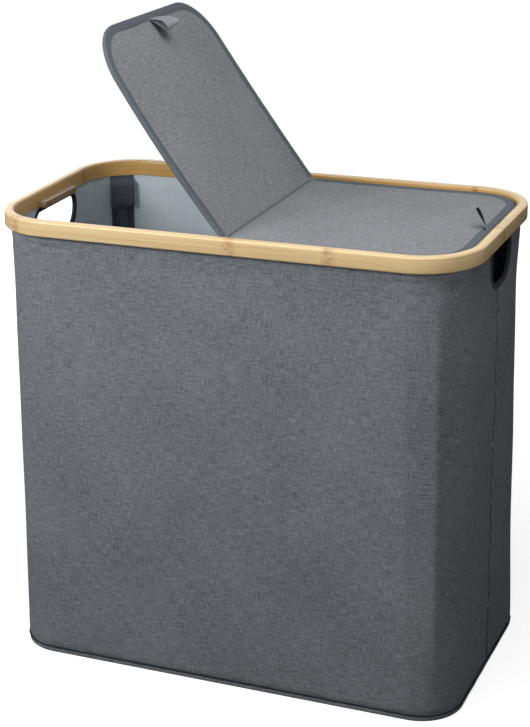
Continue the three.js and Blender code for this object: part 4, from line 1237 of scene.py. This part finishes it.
def make_flaps():
    """A doubled cloth flap that hangs over the top of each rod and closes on its sleeve."""
    up = np.concatenate([np.linspace(3.2, 0, 4, endpoint=False), np.linspace(0, -30, 24, endpoint=False),
                         np.linspace(-30, -38, 8)])[:, None] * MM
    share = np.linspace(-1, 1, 29)[None]
    settle = rise(-up, 0, 8 * MM)
    across = FLAP_HALF * share * (1 + 0.06 * rise(-up, 24 * MM, FLAP_LENGTH) * (share > 0))
    curl = 0.9 * MM * rise(-up, 31 * MM, FLAP_LENGTH) * share ** 2
    for number, corner in enumerate(CORNERS):
        inward = FLAP_ROOT_GAP - 0.6 * MM + (FLAP_INWARD - FLAP_ROOT_GAP + 1.0 * MM) * settle
        inward = inward + 0.35 * MM * waves(across, up, 30 * MM, 111 + number) * settle + curl
        piece = make_cloth(f"flap_cloth_{corner}", into(corner, on_flap(across, inward, up)),
                           (across + number, up), 0.9 * MM, DARK_CLOTH, "wall_cloth", [f"rod_flap_{corner}"],
                           None, degrees=60)
        start, end = (into(corner, on_flap(0.0, FLAP_ROOT_GAP, height)) for height in (1.5 * MM, -3 * MM))
        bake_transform(piece)


def make_patches():
    """Hook tape inside each flap and loop tape on the sleeve under it, with cut round corners."""
    width, length, corner_round, edge_round = 13 * MM, 15 * MM, 2 * MM, 0.2 * MM
    middle = SLEEVE_HIGH - FLAP_ROOT - GAP - length / 2
    for corner in CORNERS:
        for kind, inward, body in (("loop", LOOP_INWARD, "root"), ("hook", HOOK_INWARD, f"flap_{corner}")):
            piece = start_primitive(f"{kind}_tape_{corner}", bpy.ops.mesh.primitive_cube_add, size=1,
                                    scale=(width, length, PATCH))
            bevel_edges(piece, lambda e: not is_level(e), corner_round, 5)
            bevel_edges(piece, lambda e: e.calc_face_angle(0) > 1.2, edge_round, 2)
            end_primitive(piece, 50)
            across, up, off = np.array([vert.co for vert in piece.data.vertices]).T
            places = into(corner, on_flap(across, inward + PATCH / 2 + off, middle + up))
            piece.data.vertices.foreach_set("co", places.astype(np.float32).ravel())
            merge(piece)
            piece.data.update()
            dress(piece, HOOK_AND_LOOP, "hook_and_loop", [f"{kind}_patch_{corner}"], body)


def stitching(name, lines, material, slot, body, pitch=3.6 * MM, radius=0.28 * MM):
    """Rows of lockstitch. Each line is places on the cloth with the way out of it; a stitch dips into
    the cloth at both ends and stands proud of it between them."""
    length = 0.68 * pitch
    # Rings along a stitch: how far along it, how high over the cloth and how thick, as shares
    ring_shares = np.array([[0.0, -0.4, 0.35], [0.22, 0.45, 0.95], [0.5, 0.6, 1.0], [0.78, 0.45, 0.95],
                            [1.0, -0.4, 0.35]])
    turn = np.linspace(0, FULL_TURN, 6, endpoint=False)
    rings, count = len(ring_shares), len(turn)
    index = np.arange(rings * count).reshape(rings, count)
    sides = quads(np.concatenate([index, index[:, :1]], axis=1)).tolist()
    one_stitch = sides + [index[0, ::-1].tolist(), index[-1].tolist()]
    points, faces = [], []
    for places, outs in lines:
        lengths = run_lengths(places)
        for start in np.arange(pitch / 2, lengths[-1] - length, pitch):
            at = start + ring_shares[:, 0] * length
            middle, out = (np.stack([np.interp(at, lengths, part[:, i]) for i in range(3)], axis=1)
                           for part in (places, outs))
            out = out / np.linalg.norm(out, axis=1, keepdims=True)
            ahead = middle[-1] - middle[0]
            beside = np.cross(ahead / np.linalg.norm(ahead), out)
            faces += [[len(points) + i for i in face] for face in one_stitch]
            for core, up, across, (_, height, swell) in zip(middle, out, beside, ring_shares):
                for angle in turn:
                    off = up * (height + 0.8 * swell * math.cos(angle)) + across * swell * math.sin(angle)
                    points.append(core + radius * off)
    piece = link_mesh(name, points, faces)
    merge(piece)
    dress(smooth(piece, 60), material, slot, body=body)


def row(place):
    """A row of stitches through places on a cloth, which place gives raised off it by a height."""
    places = np.asarray(place(0), float)
    return places, (np.asarray(place(MM), float) - places) / MM


def make_stitches():
    for end, sign in ENDS.items():
        lines = []
        over = 7.7 * MM, 0.82 * MM, 1
        under = BINDING_WIDTH - 3 * MM, -LID_THICKNESS - 0.95 * MM, -1
        for inset, high, up in (over, under):
            x, y = lid_edge(inset, from_x=12 * MM)[0].T
            lines.append(row(lambda lift: to_lid(end, spread(x, y, high + up * lift))))
        stitching(f"lid_stitches_{end}", lines, SLATE_THREAD, "binding_tape", f"lid_{end}")

        outline, outs = handle_outline(end, 0.0, 8)
        y, z = (np.concatenate([outline, outline[:1]]) + np.concatenate([outs, outs[:1]]) * 4.2 * MM).T
        x = body_size(z)[0] + 0.88 * MM
        stitching(f"handle_stitches_{end}", [row(lambda lift: spread(sign * (x + lift), y, z))], SLATE_THREAD,
                  "binding_tape", "root", pitch=3.2 * MM)

    for face, sign in FACES.items():
        z = np.linspace(WALL_BOTTOM + 2 * MM, RIM_UNDERSIDE - 3 * MM, 240)
        x = fold_lean(z) + 2.6 * MM
        y = body_size(z)[1] + wall_relief(x, z, face)
        stitching(f"middle_stitches_{face}", [row(lambda lift: spread(x, sign * (y + lift), z))], GREY_THREAD,
                  "wall_cloth", "root", radius=0.22 * MM)

    z = np.linspace(SLEEVE_LOW + 2 * MM, SLEEVE_HIGH - 2 * MM, 160)
    side, top, foot = 13.4 * MM, -6 * MM, -34 * MM
    across = np.concatenate([np.full(24, -side), np.linspace(-side, side, 24)[1:-1], np.full(24, side)])
    up = np.concatenate([np.linspace(top, foot, 24), np.full(22, foot), np.linspace(foot, top, 24)])
    over_flap = FLAP_INWARD + 1.2 * MM + 0.6 * MM * rise(-up, 31 * MM, FLAP_LENGTH)
    for corner in CORNERS:
        lines = [row(lambda lift: into(corner, in_corner(along, GAP + 1.0 * MM + lift, z, TENSION[corner])))
                 for along in (-13 * MM, 13 * MM)]
        stitching(f"sleeve_stitches_{corner}", lines, DARK_THREAD, "wall_cloth", "root")
        flap_row = row(lambda lift: into(corner, on_flap(across, over_flap + lift, up)))
        stitching(f"flap_stitches_{corner}", [flap_row], DARK_THREAD, "wall_cloth", f"flap_{corner}")


def make_floor():
    """A pale sweep under the hamper, which the camera sees brighter than it lights the hamper."""
    bpy.ops.mesh.primitive_plane_add(size=14, location=(0, 0, 0))
    floor = bpy.context.object
    floor.name = "floor"
    material, tree = new_material("white paper sweep")
    place = node(tree, "TexCoord").outputs["Object"]
    far = node(tree, "VectorMath", {0: place}, operation="LENGTH").outputs["Value"]
    glow = node(tree, "MapRange", {"Value": far, "From Min": 0.5, "From Max": 1.6, "To Min": FLOOR_GLOW})
    paper = node(tree, "BsdfDiffuse", {"Color": srgb("#f0f0f0")})
    bounce = node(tree, "BsdfDiffuse", {"Color": srgb(FLOOR_BOUNCE)})
    light = node(tree, "Emission", {"Color": grey(1), "Strength": glow})
    bright = node(tree, "AddShader", {0: paper, 1: light})
    ray = node(tree, "LightPath")
    seen = node(tree, "MixShader", {"Fac": ray.outputs["Is Camera Ray"], 1: bounce, 2: bright})
    node(tree, "OutputMaterial", {"Surface": seen})
    floor.data.materials.append(material)


def make_world():
    """White behind the hamper and in its reflections, but hardly any light from there."""
    world = bpy.data.worlds.new("studio")
    bpy.context.scene.world = world
    world.use_nodes = True
    tree = world.node_tree
    tree.nodes.clear()
    ray = node(tree, "LightPath")
    seen = ray.outputs["Is Camera Ray"]
    for other in ("Is Glossy Ray", "Is Transmission Ray"):
        seen = node(tree, "Math", {0: seen, 1: ray.outputs[other]}, operation="MAXIMUM")
    strength = node(tree, "MapRange", {"Value": seen, "To Min": AMBIENT})
    sky = node(tree, "Background", {"Color": grey(1), "Strength": strength})
    node(tree, "OutputWorld", {"Surface": sky})


def make_lamps():
    for name, place, aim, size, power in LAMPS:
        data = bpy.data.lights.new(name, "AREA")
        data.shape, data.size, data.energy = "SQUARE", size, power
        lamp = link(name, data)
        lamp.location = place
        lamp.rotation_mode = "QUATERNION"
        lamp.rotation_quaternion = (Vector(aim) - Vector(place)).to_track_quat("-Z", "Y")


def make_camera():
    data = bpy.data.cameras.new("camera")
    data.sensor_width = 36.0
    data.lens = FOCAL_PIXELS * data.sensor_width / PICTURE_HEIGHT
    data.shift_x = (PICTURE_WIDTH / 2 - AXIS_PIXEL[0]) / PICTURE_HEIGHT
    data.shift_y = (AXIS_PIXEL[1] - PICTURE_HEIGHT / 2) / PICTURE_HEIGHT
    data.clip_start, data.clip_end = 0.05, 50
    camera = link("camera", data)
    yaw, pitch, roll = CAMERA_YAW, CAMERA_PITCH, CAMERA_ROLL
    ahead = Vector((-math.sin(yaw) * math.cos(pitch), math.cos(yaw) * math.cos(pitch), -math.sin(pitch)))
    level = Vector((math.cos(yaw), math.sin(yaw), 0))
    upright = level.cross(ahead)
    right = level * math.cos(roll) + upright * math.sin(roll)
    up = upright * math.cos(roll) - level * math.sin(roll)
    turn = Matrix((right, up, -ahead)).transposed()
    camera.matrix_world = Matrix.Translation(CAMERA_PLACE) @ turn.to_4x4()
    bpy.context.scene.camera = camera


PICTURE_WIDTH, PICTURE_HEIGHT = 530, 727
FOCAL_PIXELS = 1861.876
AXIS_PIXEL = (216.38, 361.05)
CAMERA_PLACE = (0.838849, -2.091429, 1.202366)
CAMERA_YAW, CAMERA_PITCH, CAMERA_ROLL = 0.4102, 0.3482, -0.0236
AMBIENT = 0.01
FLOOR_GLOW = 0.72
FLOOR_BOUNCE = "#5a5a5a"
# Name, place, aim, size and power of each lamp
LAMPS = [
    ("key, front left", (-0.8, -1.2, 1.25), (0, 0, 0.6), 0.6, 15.8),
    ("top", (0.3, -0.3, 1.55), (0, 0, 0.55), 0.7, 6.9),
    ("fill, right", (1.2, -0.8, 1.05), (0, 0, 0.6), 0.6, 2.4),
    ("fill, front right", (0.9, -2.1, 1.15), (0, 0, 0.55), 0.8, 5),
    ("fill, left", (-2.2, -0.4, 1.2), (0, 0, 0.45), 1.0, 3.5),
    ("fill, back left", (-1.6, 1.9, 0.5), (0, 0, 0.3), 1.2, 9),
]
bpy.context.scene.view_settings.view_transform = "Standard"

for make in (
    make_floor, make_world, make_lamps, make_camera, make_hoop, make_grips, make_screws,
    make_walls, make_linings, make_base, make_welt, make_floors, make_seam_tapes, make_divider,
    make_handle_bindings, make_lid_boards, make_lid_covers, make_lid_bindings, make_tabs,
    make_hinge, make_rods, make_sleeves, make_flaps, make_patches, make_stitches,
):
    make()
for name in ("divider_board", "floor_board_left", "floor_board_right"):
    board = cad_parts[name]
    board.data.materials.clear()
    board.data.materials.append(FIBRE_BOARD)
